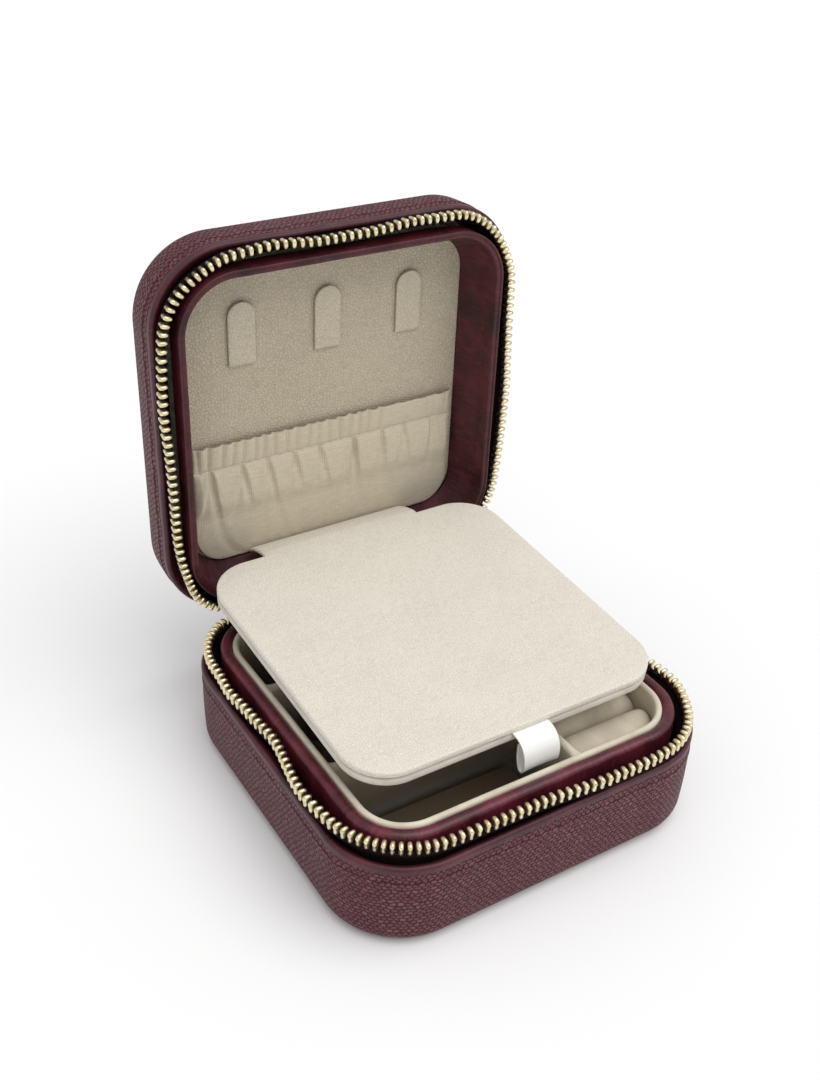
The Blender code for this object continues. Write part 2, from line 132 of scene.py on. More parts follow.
def putMesh(name, verts, parts, look, flatAxis=None):
    # parts are pairs of face rows and the faces' corner patterns in millimetres
    verts = np.asarray(verts, float)
    volume = 0.0
    for faces, _ in parts:
        a = verts[faces[:, 0]]
        for k in range(1, faces.shape[1] - 1):
            volume += (a * np.cross(verts[faces[:, k]], verts[faces[:, k + 1]])).sum()
    every, corners = [], []
    for faces, uv in parts:
        if flatAxis is not None:
            points = verts[faces]
            normal = np.cross(points[:, 2] - points[:, 0], points[:, -1] - points[:, 1])
            level = np.abs(normal[:, flatAxis]) > 0.72 * np.linalg.norm(normal, axis=1)
            uv = np.where(level[:, None, None], np.delete(points, flatAxis, 2), uv)
        if volume < 0.0:
            faces, uv = faces[:, ::-1], uv[:, ::-1]
        every += faces.tolist()
        corners.append(uv.reshape(-1, 2))
    mesh = bpy.data.meshes.new(name)
    mesh.from_pydata((verts * 0.001).tolist(), [], every)
    mesh.uv_layers.new(name="run").data.foreach_set("uv", np.concatenate(corners).ravel())
    mesh.polygons.foreach_set("use_smooth", np.ones(len(every), bool))
    mesh.update()
    mesh.materials.append(look)
    made = bpy.data.objects.new(name, mesh)
    bpy.context.scene.collection.objects.link(made)
    return made


def quadRows(rows, cols, closeRows, closeCols, first=0):
    i, j = np.meshgrid(np.arange(rows - (not closeRows)), np.arange(cols - (not closeCols)), indexing="ij")
    i, j = i.ravel(), j.ravel()
    k, l = (i + 1) % rows, (j + 1) % cols
    return np.stack([i * cols + j, i * cols + l, k * cols + l, k * cols + j], 1) + first, i, j


def surface(name, grid, look, closeRows=False, closeCols=True, flatAxis=None):
    # a grid of places becomes a closed skin: open ends are closed with a fan to the middle of their edge
    rows, cols = grid.shape[:2]
    quads, i, j = quadRows(rows, cols, closeRows, closeCols)
    widest = np.argmax([lengths(row, closeCols)[-1] for row in grid[:: max(1, rows // 12)]]) * max(1, rows // 12)
    along, across = lengths(grid[widest], closeCols), lengths(grid[:, 0], closeRows)
    uv = np.stack([np.stack([along[j], across[i]], 1), np.stack([along[j + 1], across[i]], 1),
                   np.stack([along[j + 1], across[i + 1]], 1), np.stack([along[j], across[i + 1]], 1)], 1)
    verts, parts, fans = grid.reshape(-1, 3), [(quads, uv)], []
    if not closeRows:
        ring = np.arange(cols)
        fans += [(np.roll(ring, -1), ring), (ring + (rows - 1) * cols, np.roll(ring, -1) + (rows - 1) * cols)]
    if not closeCols:
        ring = np.arange(rows) * cols
        fans += [(ring, np.roll(ring, -1)), (np.roll(ring, -1) + cols - 1, ring + cols - 1)]
    for one, two in fans:
        middle = verts[one].mean(0)
        tri = np.stack([one, two, np.full(len(one), len(verts))], 1)
        verts = np.concatenate([verts, middle[None]])
        spread = verts[tri][..., [0, 1]] if flatAxis is None else np.delete(verts[tri], flatAxis, 2)
        parts.append((tri, spread))
    return putMesh(name, verts, parts, look, flatAxis)


def leaf(name, front, back, look):
    # two matching grids, face to face, joined round their edges
    rows, cols = front.shape[:2]
    verts = np.concatenate([front.reshape(-1, 3), back.reshape(-1, 3)])
    quads, i, j = quadRows(rows, cols, False, False)
    along, across = lengths(front[rows // 2], False), lengths(front[:, cols // 2], False)
    corners = (j, i), (j + 1, i), (j + 1, i + 1), (j, i + 1)
    uv = np.stack([np.stack([along[a], across[b]], 1) for a, b in corners], 1)
    count = rows * cols
    edge = np.concatenate([np.arange(cols), np.arange(1, rows) * cols + cols - 1,
                           (rows - 1) * cols + np.arange(cols - 2, -1, -1), np.arange(rows - 2, 0, -1) * cols])
    ahead = np.roll(edge, -1)
    rim = np.stack([ahead, edge, edge + count, ahead + count], 1)
    place = lengths(verts[edge], True)
    rimUv = np.stack([np.stack([place[1:], 0 * place[1:]], 1), np.stack([place[:-1], 0 * place[1:]], 1),
                      np.stack([place[:-1], 0 * place[1:] + 1], 1), np.stack([place[1:], 0 * place[1:] + 1], 1)], 1)
    return putMesh(name, verts, [(quads, uv), (quads[:, ::-1] + count, uv[:, ::-1]), (rim, rimUv)], look)


def repeated(name, shape, places, axes, look):
    # one closed grid shape, columns closed, set at many places with its own three axes at each
    rows, cols = shape.shape[:2]
    single = np.concatenate([shape.reshape(-1, 3), shape[0].mean(0)[None], shape[-1].mean(0)[None]])
    verts = (places[:, None] + np.einsum("vk,nkc->nvc", single, axes)).reshape(-1, 3)
    quads, i, j = quadRows(rows, cols, False, True)
    ring = np.arange(cols)
    caps = np.concatenate([np.stack([np.roll(ring, -1), ring, np.full(cols, rows * cols)], 1),
                           np.stack([ring, np.roll(ring, -1), np.full(cols, 1)], 1) +
                           np.array([(rows - 1) * cols, (rows - 1) * cols, rows * cols])])
    shift = (np.arange(len(places)) * len(single))[:, None, None]
    quads, caps = (quads[None] + shift).reshape(-1, 4), (caps[None] + shift).reshape(-1, 3)
    return putMesh(name, verts, [(quads, verts[quads][..., :2]), (caps, verts[caps][..., :2])], look)


def smoothNoise(u, total, seed, shortest, longest, count=14):
    # sum of cosines that close up on the whole length, with set random phases
    draw = np.random.default_rng(seed)
    waves = np.round(total / draw.uniform(shortest, longest, count))
    phase, size = draw.uniform(0, 2 * pi, count), draw.uniform(0.4, 1.0, count)
    turn = 2 * pi * waves[:, None] * u[None] / total + phase[:, None]
    return (size[:, None] * np.cos(turn)).sum(0) / size.sum() ** 0.5


def squashedRing(angle, alongPower, acrossPower):
    # a circle pressed towards a square: every coordinate keeps its sign and is raised to a power below 1
    c, s = np.cos(angle), np.sin(angle)
    return np.sign(c) * np.abs(c) ** alongPower, np.sign(s) * np.abs(s) ** acrossPower


def smoothedLine(knots, count, rounds):
    # a line through knots, read at even steps, then every inner place drawn to its neighbours a number of times;
    # gives the places and the length along the knots
    at = np.r_[0.0, np.cumsum(np.linalg.norm(np.diff(knots, axis=0), axis=1))]
    fine = np.linspace(0.0, at[-1], count)
    line = np.stack([np.interp(fine, at, knots[:, k]) for k in (0, 1)], 1)
    for _ in range(rounds):
        line[1:-1] = 0.25 * line[:-2] + 0.5 * line[1:-1] + 0.25 * line[2:]
    return line, fine


def offLine(line, x, off):
    # a skin that stands off a middle line by off, along the line's normal
    ahead = np.gradient(line, axis=0)
    ahead /= np.linalg.norm(ahead, axis=1, keepdims=True)
    normal = np.stack([-ahead[:, 1], ahead[:, 0]], 1)
    y = line[:, None, 0] + off * normal[:, None, 0]
    z = line[:, None, 1] + off * normal[:, None, 1]
    return np.stack([x + 0 * y, y, z], -1)


def place(made, body, slot, *nodes):
    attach(made, body)
    if nodes:
        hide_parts(*nodes)
    return made


class Wire:
    # a value inside a material; Python sums on it add the nodes
    def __init__(self, tree, socket):
        self.tree, self.socket = tree, socket

    def node(self, kind, settings, sockets, out=0):
        made = self.tree.nodes.new(kind)
        for key, value in settings.items():
            if key == "stops":
                ramp = made.color_ramp
                while len(ramp.elements) < len(value):
                    ramp.elements.new(0.5)
                for element, (at, colour) in zip(ramp.elements, value):
                    element.position, element.color = at, (*colour, 1.0)
            else:
                setattr(made, key, value)
        for key, value in sockets.items():
            if isinstance(value, Wire):
                self.tree.links.new(value.socket, made.inputs[key])
            else:
                made.inputs[key].default_value = value
        return Wire(self.tree, made.outputs[out])

    def maths(self, operation, *values):
        return self.node("ShaderNodeMath", {"operation": operation}, dict(enumerate(values)))

    def __add__(self, other): return self.maths("ADD", self, other)
    def __radd__(self, other): return self.maths("ADD", other, self)
    def __sub__(self, other): return self.maths("SUBTRACT", self, other)
    def __rsub__(self, other): return self.maths("SUBTRACT", other, self)
    def __mul__(self, other): return self.maths("MULTIPLY", self, other)
    def __rmul__(self, other): return self.maths("MULTIPLY", other, self)
    def __truediv__(self, other): return self.maths("DIVIDE", self, other)
    def __rtruediv__(self, other): return self.maths("DIVIDE", other, self)
    def __pow__(self, other): return self.maths("POWER", self, other)

    def step(self, low, high):
        # 0 below low, 1 above high, smooth between
        return self.node("ShaderNodeMapRange", {"interpolation_type": "SMOOTHSTEP"},
                         {"Value": self, "From Min": low, "From Max": high})

    def blend(self, low, high):
        # low colour where this value is 0, high colour where it is 1
        ends = [(*c, 1.0) if isinstance(c, tuple) else c for c in (low, high)]
        return self.node("ShaderNodeMix", {"data_type": "RGBA"}, {0: self, 6: ends[0], 7: ends[1]}, 2)

    def stretched(self, x, y, z=1.0):
        # a place with each of its axes multiplied
        return self.node("ShaderNodeVectorMath", {"operation": "MULTIPLY"}, {0: self, 1: (x, y, z)})

    def shaken(self, amount, scale):
        # a place pushed about by a noise
        wobble = self.node("ShaderNodeTexNoise", {}, {"Vector": self, "Scale": scale, "Detail": 2.0}, 1)
        centred = self.node("ShaderNodeVectorMath", {"operation": "SUBTRACT"}, {0: wobble, 1: (0.5, 0.5, 0.5)})
        return self.node("ShaderNodeVectorMath", {"operation": "MULTIPLY_ADD"},
                         {0: centred, 1: (amount, amount, amount), 2: self})

    def axis(self, which):
        return self.node("ShaderNodeSeparateXYZ", {}, {0: self}, which)

    def noise(self, scale, detail=3.0, rough=0.55):
        return self.node("ShaderNodeTexNoise", {},
                         {"Vector": self, "Scale": scale, "Detail": detail, "Roughness": rough})

    def cells(self, feature, scale, random=1.0, flat=False):
        return self.node("ShaderNodeTexVoronoi",
                         {"feature": feature, "voronoi_dimensions": "2D" if flat else "3D"},
                         {"Vector": self, "Scale": scale, "Randomness": random})

    def sine(self, length):
        # a wave from 0 to 1 with this length
        return (self * (2 * pi / length)).maths("SINE", self * (2 * pi / length)) * 0.5 + 0.5


class Look:
    # one material: its shader, the run pattern in millimetres and the object's own place in millimetres
    def __init__(self, name, **fixed):
        self.material = bpy.data.materials.new(name)
        self.material.use_nodes = True
        tree = self.material.node_tree
        self.shader = tree.nodes["Principled BSDF"]
        for key, value in fixed.items():
            socket = self.shader.inputs[key.replace("_", " ")]
            socket.default_value = (*value, 1.0) if isinstance(value, tuple) else value
        places = tree.nodes.new("ShaderNodeTexCoord")
        self.run = Wire(tree, places.outputs["UV"])
        self.place = Wire(tree, places.outputs["Object"]).stretched(1000.0, 1000.0, 1000.0)

    def set(self, colour=None, roughness=None, height=None, strength=1.0, metallic=None):
        # height is in millimetres
        tree = self.material.node_tree
        for key, value in (("Base Color", colour), ("Roughness", roughness), ("Metallic", metallic)):
            if value is not None:
                tree.links.new(value.socket, self.shader.inputs[key])
        if height is not None:
            bump = height.node("ShaderNodeBump", {}, {"Height": height, "Distance": 0.001, "Strength": strength})
            tree.links.new(bump.socket, self.shader.inputs["Normal"])
        return self.material


grain = {
    "cellLong": 1.45, "cellHigh": 0.95,             # one scale of the grain, along and across the rim
    "high": 0.130,                                  # depth of the grain
    "top": (0.152, 0.035, 0.048), "worn": (0.225, 0.088, 0.100), "deep": (0.026, 0.005, 0.009),
}


def grainedLeather():
    # staggered scales: rows of cells, every second row shifted by half a cell, warped by noise,
    # with pressed borders; a fine pore lies over them
    look = Look("grained_burgundy", Specular_IOR_Level=0.30)
    run = look.run.shaken(1.5, 0.30).shaken(0.95, 0.85)
    row = run.axis(1) * (1.0 / grain["cellHigh"])
    line = row.maths("FLOOR", row)
    along = run.axis(0) * (1.0 / grain["cellLong"]) + line * 0.5
    u, v = along.maths("FRACT", along), row.maths("FRACT", row)
    hump = u * (1.0 - u) * v * (1.0 - v) * 16.0
    plateau = hump.step(0.0, 0.92)
    number = row.node("ShaderNodeCombineXYZ", {}, {0: along.maths("FLOOR", along), 1: line})
    tone = number.node("ShaderNodeTexWhiteNoise", {"noise_dimensions": "2D"}, {"Vector": number}, 0)
    pores = look.run.noise(4.5, 3.0)
    broad = look.place.noise(0.045, 2.0)
    worn = (tone * 0.55 + broad * 0.75 - 0.28).step(0.1, 0.9)
    colour = plateau.blend(grain["deep"], worn.blend(grain["top"], grain["worn"]))
    height = plateau * (tone * 0.5 + 0.7) * grain["high"] + pores * 0.03
    rough = 0.60 - plateau * 0.16 + pores * 0.08
    return look.set(colour, rough, height)


# glossy burgundy leather; the second pair is the same leather darkened as painted shade for the lid's collar
glossy = {
    "light": (0.168, 0.022, 0.038), "dark": (0.050, 0.006, 0.012),
    "shadeLight": (0.100, 0.014, 0.022), "shadeDark": (0.022, 0.003, 0.005),
}


def smoothLeather(name, wrinkle, light, dark, rough, shine=0.08):
    # fine folds run across the band, closer together than they are long, over a soft pore
    look = Look(name, Specular_IOR_Level=0.36, Coat_Weight=shine, Coat_Roughness=0.20)
    folds = look.run.shaken(0.8, 0.3).stretched(1.15, 0.22).noise(1.0, 4.0, 0.6)
    creaseShade = 1.0 - (folds - 0.5).maths("ABSOLUTE", folds - 0.5) * 5.0
    pores = look.place.noise(3.2, 2.0)
    broad = look.place.noise(0.11, 2.0)
    # painted shade: the crease lines of the folds darken the colour
    shade = (broad * 0.8 + folds * 0.5 - creaseShade * 0.12).step(0.32, 0.85)
    height = folds * wrinkle + pores * 0.035
    return look.set(shade.blend(dark, light), pores * 0.14 + (rough - 0.05) + folds * 0.06, height)


def tapeCloth():
    # two waves across each other give the ribs of a woven tape
    look = Look("black_zip_tape", Specular_IOR_Level=0.12)
    ribs = look.run.axis(0).sine(0.62) * look.run.axis(1).sine(0.5)
    fuzz = look.run.noise(6.0, 3.0)
    colour = (ribs * 0.7 + fuzz * 0.4).blend((0.003, 0.001, 0.0015), (0.016, 0.005, 0.007))
    return look.set(colour, fuzz * 0.2 + 0.7, ribs * 0.10 + fuzz * 0.03)


def paleGold(name, dull, low, high):
    # cast metal: a soft ripple, slightly duller and browner in patches
    look = Look(name)
    patch = look.place.noise(0.9, 3.0)
    ripple = look.place.noise(2.6, 2.0)
    colour = patch.step(0.3, 0.75).blend(low, high)
    return look.set(colour, ripple * 0.16 + dull, ripple * 0.02, metallic=look.place.noise(0.3, 1.0) * 0.02 + 0.98)


def creamLeather(name, light, dark, size, high):
    # small pebbles with creases between them, and a slow drift of tone
    look = Look(name, Specular_IOR_Level=0.35, Sheen_Weight=0.08)
    place = look.place.shaken(0.35, 1.1)
    pebbles = place.cells("DISTANCE_TO_EDGE", 1.0 / size, 0.95).step(0.0, 0.22)
    fine = look.place.noise(3.6, 3.0)
    long = look.place.stretched(0.55, 1.0, 1.0).noise(0.75, 3.0)
    broad = look.place.noise(0.05, 2.0)
    shade = pebbles * 0.40 + fine * 0.35 + long * 0.4 + broad * 0.30
    height = pebbles * high + fine * high * 0.55 + long * high * 1.2
    return look.set(shade.step(0.25, 1.15).blend(dark, light), 0.74 - pebbles * 0.12 + fine * 0.06, height)


def velvetCloth(name, light, dark, deep=None):
    # short pile: very fine speckle with brushed patches that lean one way or the other;
    # darker and browner low down when a deep colour is given: painted shade in the tray's low recesses
    look = Look(name, Specular_IOR_Level=0.2, Sheen_Weight=0.35, Sheen_Roughness=0.45)
    pile = look.place.noise(7.0, 3.0, 0.7)
    brushed = look.place.stretched(1.0, 0.4, 1.0).noise(0.16, 3.0)
    shade = (pile * 0.5 + brushed * 0.8).step(0.3, 0.95)
    colour = shade.blend(dark, light)
    if deep is not None:
        # painted shade: the deep colour takes over towards the tray's floor
        colour = look.place.axis(2).step(8.0, 28.5).blend(deep, colour)
    return look.set(colour, pile * 0.1 + 0.85, pile * 0.07 + brushed * 0.10)


def pocketCloth():
    # plain weave of slightly uneven yarns
    look = Look("pocket_cloth_weave", Specular_IOR_Level=0.25, Sheen_Weight=0.25, Sheen_Roughness=0.5)
    run = look.run.shaken(0.25, 0.9)
    weave = run.axis(0).sine(0.52) * 0.5 + run.axis(1).sine(0.46) * 0.5
    slub = look.run.stretched(0.3, 1.6).noise(1.0, 3.0)
    fuzz = look.place.noise(5.0, 3.0)
    shade = weave * 0.35 + slub * 0.45 + fuzz * 0.35
    return look.set(shade.step(0.25, 0.95).blend((0.490, 0.420, 0.305), (0.715, 0.645, 0.515)),
                    fuzz * 0.1 + 0.82, weave * 0.05 + slub * 0.05 + fuzz * 0.03)


def satinCloth():
    # fine ribs across the ribbon and a soft shine
    look = Look("white_satin_ribbon", Specular_IOR_Level=0.5, Sheen_Weight=0.3,
                Sheen_Roughness=0.3, Anisotropic=0.4)
    ribs = look.run.axis(1).sine(0.30)
    fuzz = look.run.stretched(3.0, 0.5).noise(1.2, 2.0)
    return look.set((ribs * 0.4 + fuzz * 0.6).blend((0.90, 0.89, 0.87), (0.98, 0.975, 0.96)),
                    fuzz * 0.12 + 0.30, ribs * 0.016 + fuzz * 0.012)


def threadLook():
    look = Look("cream_thread", Sheen_Weight=0.3)
    twist = (look.run.axis(0) + look.run.axis(1)).sine(0.22)
    return look.set(twist.blend((0.52, 0.46, 0.36), (0.78, 0.73, 0.62)), twist * 0.1 + 0.6, twist * 0.03)


def greyBoard():
    look = Look("grey_board_fibre")
    fibres = look.place.stretched(1.0, 0.3, 1.0).noise(1.6, 4.0)
    return look.set(fibres.blend((0.20, 0.19, 0.18), (0.42, 0.40, 0.37)), fibres * 0.1 + 0.85, fibres * 0.05)


looks = {
    "grained": grainedLeather(),
    "binding": smoothLeather("turned_edge_leather", 0.06, (0.105, 0.024, 0.034), (0.040, 0.007, 0.012), 0.42),
    "collar": smoothLeather("padded_collar_leather", 0.13, glossy["light"], glossy["dark"], 0.36, 0.28),
    # the lid's collar: the glossy leather with darker colours, painted shade on its inner wall
    "lidCollar": smoothLeather("lid_collar_leather", 0.11, glossy["shadeLight"], glossy["shadeDark"], 0.40),
    "spine": smoothLeather("spine_leather", 0.08, glossy["light"], glossy["dark"], 0.40),
    "tape": tapeCloth(),
    "gold": paleGold("pale_gold_teeth", 0.24, (0.72, 0.60, 0.36), (0.97, 0.89, 0.66)),
    "hardware": paleGold("pale_gold_slider", 0.15, (0.62, 0.47, 0.26), (0.90, 0.78, 0.54)),
    "flapLeather": creamLeather("cream_flap_leather",
            (0.835, 0.790, 0.700), (0.665, 0.615, 0.520), 0.70, 0.050),
    "panelLeather": creamLeather("beige_panel_leather",
            (0.610, 0.535, 0.415), (0.425, 0.362, 0.265), 0.85, 0.105),
    "tongueLeather": creamLeather("beige_tongue_leather",
            (0.640, 0.570, 0.450), (0.460, 0.400, 0.300), 0.75, 0.055),
    # the tray velvet's third colour is painted shade for its low parts
    "trayVelvet": velvetCloth("cream_tray_velvet",
            (0.820, 0.740, 0.600), (0.540, 0.470, 0.355), (0.230, 0.180, 0.115)),
    "flapVelvet": velvetCloth("grey_cream_velvet", (0.760, 0.720, 0.640), (0.540, 0.495, 0.420)),
    "pocket": pocketCloth(),
    "satin": satinCloth(),
    "thread": threadLook(),
    "board": greyBoard(),
}
print("materials made")


shell = {
    "round": 4.5, "skin": 1.0, "binding": 1.8, "bindingWide": 2.8,
    "lineBelow": 3.9, "lineDeep": 0.20, "lineWide": 0.42,   # crease pressed into the wall below the rim
    "wallBow": 0.22, "lidCrown": 0.45,
}
rim = outline(case["half"], case["half"], case["corner"], np.arange(case["alongCount"]) / case["alongCount"])
rimLength = rim[2][1] * case["alongCount"]


def leatherShell(half):
    # profile from the middle of the inner face, up the inner skin, over the free edge and down the outer skin
    # to the middle of the outer face; the outer wall bows a little and carries one pressed line
    deep, edge = case["deep"][half], case["rimH"] + shell["binding"] + 0.12
    skin, round_ = shell["skin"], shell["round"]
    quarter = np.linspace(0.0, pi / 2, 13)
    inside = [(12.0, deep - skin, k) for k in (0.06, 0.4, 0.75, 1.0)] + [(7.0, deep - skin, 1.0)]
    inside += [(round_ - (round_ - skin) * sin(a), deep - round_ + (round_ - skin) * cos(a), 1.0)
               for a in quarter[::2]]
    inside += [(skin, edge + 0.3, 1.0), (skin - 0.12, edge + 0.08, 1.0), (skin - 0.4, edge, 1.0)]
    wall = np.linspace(edge + 0.35, deep - round_, 64)
    share = (wall - edge) / (deep - round_ - edge)
    line = np.exp(-((wall - case["rimH"] - shell["lineBelow"]) / shell["lineWide"]) ** 2)
    lip = np.exp(-((wall - case["rimH"] - shell["lineBelow"] - 0.95) / 0.6) ** 2)
    inset = shell["lineDeep"] * line - 0.16 * lip + shell["wallBow"] * (2 * share - 1) ** 2
    outside = [(0.40, edge, 1.0), (0.30, edge + 0.12, 1.0)] + list(zip(inset, wall, np.ones(len(wall))))
    start = inset[-1]
    outside += [(start + (round_ - start) * (1 - cos(a)), deep - round_ + round_ * sin(a), 1.0)
                for a in quarter[1:]]
    crown = shell["lidCrown"] if half == "lid" else 0.0
    outside += [(7.0, deep + crown * 0.25, 1.0), (9.5, deep + crown * 0.55, 1.0)]
    outside += [(12.0, deep + crown * (1 - 0.2 * k), k) for k in (1.0, 0.85, 0.6, 0.35, 0.15, 0.04)]
    inset, height, shrink = np.array(inside + outside).T
    grid = sweep(rim, inset, height, shrink)
    made = surface(half + "_grained_leather", intoHalf(grid, half), looks["grained"],
                   flatAxis=2 if half == "base" else 1)
    return place(made, half, "burgundy_leather", half + "_leather_cover")


def rimBinding(half):
    # a turned leather edge: a narrow round top at the outside that slopes away towards the zip
    top, foot, wide, r = case["rimH"], case["rimH"] + shell["binding"] + 0.05, shell["bindingWide"], 0.78
    points = [(r - r * cos(k), top + r - r * sin(k)) for k in np.linspace(0.0, 0.70 * pi, 12)]
    points += [(1.9, top + 0.72), (wide - 0.25, top + 1.22), (wide, top + 1.45), (wide, foot)]
    points += [(wide / 2, foot), (0.02, foot), (0.0, top + 1.5), (0.0, top + 1.1)]
    inset, height = np.array(points).T
    swell = smoothNoise(rim[2], rimLength, 11 if half == "base" else 12, 9.0, 40.0) * 0.05
    grid = sweep(rim, inset[:, None] - swell[None] * (inset < 1.0)[:, None], height[:, None] + 0 * swell[None])
    made = surface(half + "_turned_edge", intoHalf(grid, half), looks["binding"], closeRows=True)
    return place(made, half, "smooth_burgundy_leather", half + "_rim_binding")


for half in ("base", "lid"):
    leatherShell(half)
    rimBinding(half)
print("shells made")


zipper = {
    "endX": 29.0, "tapeIn": 3.1, "tape": 0.9, "tapeTop": 2.75, "tapeRoot": 13.2,
    "pitch": 2.16, "toothLow": 0.34, "toothHigh": 3.55, "toothWide": 1.16, "toothDeep": 2.25,
    # how far in from the case's outside the teeth run; then, for each wander, where along the rim it lies,
    # how far in it goes and over what length
    "run": {"base": 1.9, "lid": 1.75}, "least": 0.35,
    "wander": {
        "base": ((72.0, -1.0, 6.0), (91.0, 0.9, 7.0), (111.0, -1.7, 9.0), (140.0, 1.2, 14.0), (203.0, -1.9, 16.0),
                 (247.0, -1.6, 8.0)),
        "lid": ((56.0, 1.6, 8.0), (106.0, -1.2, 12.0), (140.0, 0.8, 9.0), (162.0, -0.8, 7.0), (203.0, -1.0, 12.0),
                (235.0, 1.0, 10.0), (278.0, -1.2, 16.0), (309.0, 0.5, 8.0)),
    },
}


def zipRim(half, count):
    # the toothed stretch of the rim, with the zip's wander as an inset; the ends stay in line
    whole = outline(case["half"], case["half"], case["corner"], [0.0, 1.0])[2][1]
    at = np.linspace(zipper["endX"], whole - zipper["endX"], count) / whole
    places, normals, u = outline(case["half"], case["half"], case["corner"], at)
    bumps = sum(size * np.exp(-((u - middle) / wide) ** 2) for middle, size, wide in zipper["wander"][half])
    ends = np.clip((u - zipper["endX"]) / 12.0, 0, 1) * np.clip((whole - zipper["endX"] - u) / 12.0, 0, 1)
    drift = smoothNoise(u, whole, 21 if half == "base" else 22, 14.0, 45.0) * 0.14
    inset = np.maximum(zipper["run"][half] + bumps + drift, zipper["least"])
    return (places, normals, u), (inset - zipper["tapeIn"] - zipper["tape"] / 2) * ends


def zipTape(half):
    # a flat woven band with a thicker beaded edge, held straight at its root and free to wander at its edge
    line, wander = zipRim(half, 420)
    middle = zipper["tapeIn"] + zipper["tape"] / 2
    height = np.linspace(zipper["tapeTop"] + 0.5, zipper["tapeRoot"], 26)
    thick = zipper["tape"] / 2 * (1.0 + 0.55 * np.exp(-((height - zipper["tapeTop"] - 0.8) / 0.55) ** 2))
    inset = np.r_[middle, middle + thick, middle, (middle - thick)[::-1]]
    height = np.r_[zipper["tapeTop"], height, zipper["tapeRoot"] + 0.3, height[::-1]]
    free = np.clip((case["rimH"] + 0.9 - height) / 2.3, 0.0, 1.0)
    grid = sweep(line, inset[:, None] + free[:, None] * wander[None], height[:, None] + 0 * wander[None])
    made = surface(half + "_woven_tape", intoHalf(grid, half), looks["tape"], closeRows=True, closeCols=False)
    return place(made, half, "black_tape", half + "_zip_tape")


def zipTeeth(half):
    # each tooth is a rounded bar with two lobes and a waist; its rows are squashed circles that shrink at both ends
    length = 4 * (2 * case["half"] - 2 * case["corner"]) + 2 * pi * case["corner"] - 2 * zipper["endX"]
    line, wander = zipRim(half, int(round((length - 1.0) / zipper["pitch"])) + 1)
    t = (1 - np.cos(np.linspace(0.06, 0.94, 10) * pi)) / 2
    ends = np.sqrt(np.clip(1 - (2 * t - 1) ** 6, 0.0, 1.0))
    lobes = 0.90 + 0.16 * np.exp(-((t - 0.20) / 0.17) ** 2) + 0.14 * np.exp(-((t - 0.80) / 0.18) ** 2)
    angle = np.arange(10) / 10 * 2 * pi
    across, along = squashedRing(angle, 0.75, 0.75)
    wide = zipper["toothWide"] / 2 * ends * lobes
    deep = zipper["toothDeep"] / 2 * ends * (0.86 + 0.22 * np.exp(-((t - 0.2) / 0.25) ** 2))
    tall = zipper["toothLow"] + t * (zipper["toothHigh"] - zipper["toothLow"])
    shape = np.stack([wide[:, None] * along, deep[:, None] * across, tall[:, None] + 0 * angle], -1)
    flat = line[0] - (zipper["tapeIn"] + zipper["tape"] / 2 + wander)[:, None] * line[1]
    heading = np.stack([-line[1][:, 1], line[1][:, 0]], 1)
    flat3 = intoHalf(np.c_[flat, np.zeros(len(flat))], half)
    axes = [intoHalf(np.c_[flat + step, np.zeros(len(flat))], half) - flat3 for step in (heading, line[1])]
    up = intoHalf(np.array([[0.0, 0.0, 1.0]]), half) - intoHalf(np.array([[0.0, 0.0, 0.0]]), half)
    axes = np.stack(axes + [np.repeat(up, len(flat), 0)], 1)
    made = repeated(half + "_zip_teeth", shape, flat3, axes, looks["gold"])
    return place(made, half, "gold_metal", half + "_zip_chain")


for half in ("base", "lid"):
    zipTape(half)
    zipTeeth(half)
print("zip made")


def pill(low, high, edge, axis, steps=9, count=72, corner=None):
    # a block with a rounded plan and rounded edges: profile rows run from the middle of one face,
    # round the edge and back to the middle of the other
    flat = [k for k in range(3) if k != axis]
    middle, size = (low + high) / 2, (high - low) / 2
    plan = outline(size[flat[0]], size[flat[1]], corner or min(size[flat[0]], size[flat[1]]) * 0.98,
                   np.arange(count) / count)
    angle = np.linspace(-pi / 2, pi / 2, steps)
    inset = np.r_[edge, edge * (1 - np.cos(angle)), edge]
    height = np.sin(angle) * edge + np.sign(angle) * (size[axis] - edge)
    height = np.r_[height[0], height, height[-1]]
    grid = sweep(plan, inset, height, np.r_[0.4, np.ones(steps), 0.4])
    out = np.empty_like(grid)
    out[..., flat[0]], out[..., flat[1]], out[..., axis] = grid[..., 0], grid[..., 1], grid[..., 2]
    return out + middle


def tube(line, radius, count=10):
    # a circle carried along a line in the plane x = constant or y = constant
    ahead = np.gradient(line, axis=0)
    ahead /= np.linalg.norm(ahead, axis=1, keepdims=True)
    side = np.cross(ahead, np.array([0.0, 1.0, 0.0]) if abs(ahead[0][1]) < 0.5 and np.ptp(line[:, 1]) < 1e-6
                    else np.array([1.0, 0.0, 0.0]))
    side /= np.linalg.norm(side, axis=1, keepdims=True)
    up = np.cross(ahead, side)
    angle = np.arange(count) / count * 2 * pi
    c, s = np.cos(angle)[None, :, None], np.sin(angle)[None, :, None]
    return line[:, None] + radius * (c * side[:, None] + s * up[:, None])


def joined(name, objects):
    # several closed meshes become one piece
    with bpy.context.temp_override(active_object=objects[0], selected_editable_objects=objects):
        bpy.ops.object.join()
    objects[0].name = name
    return objects[0]


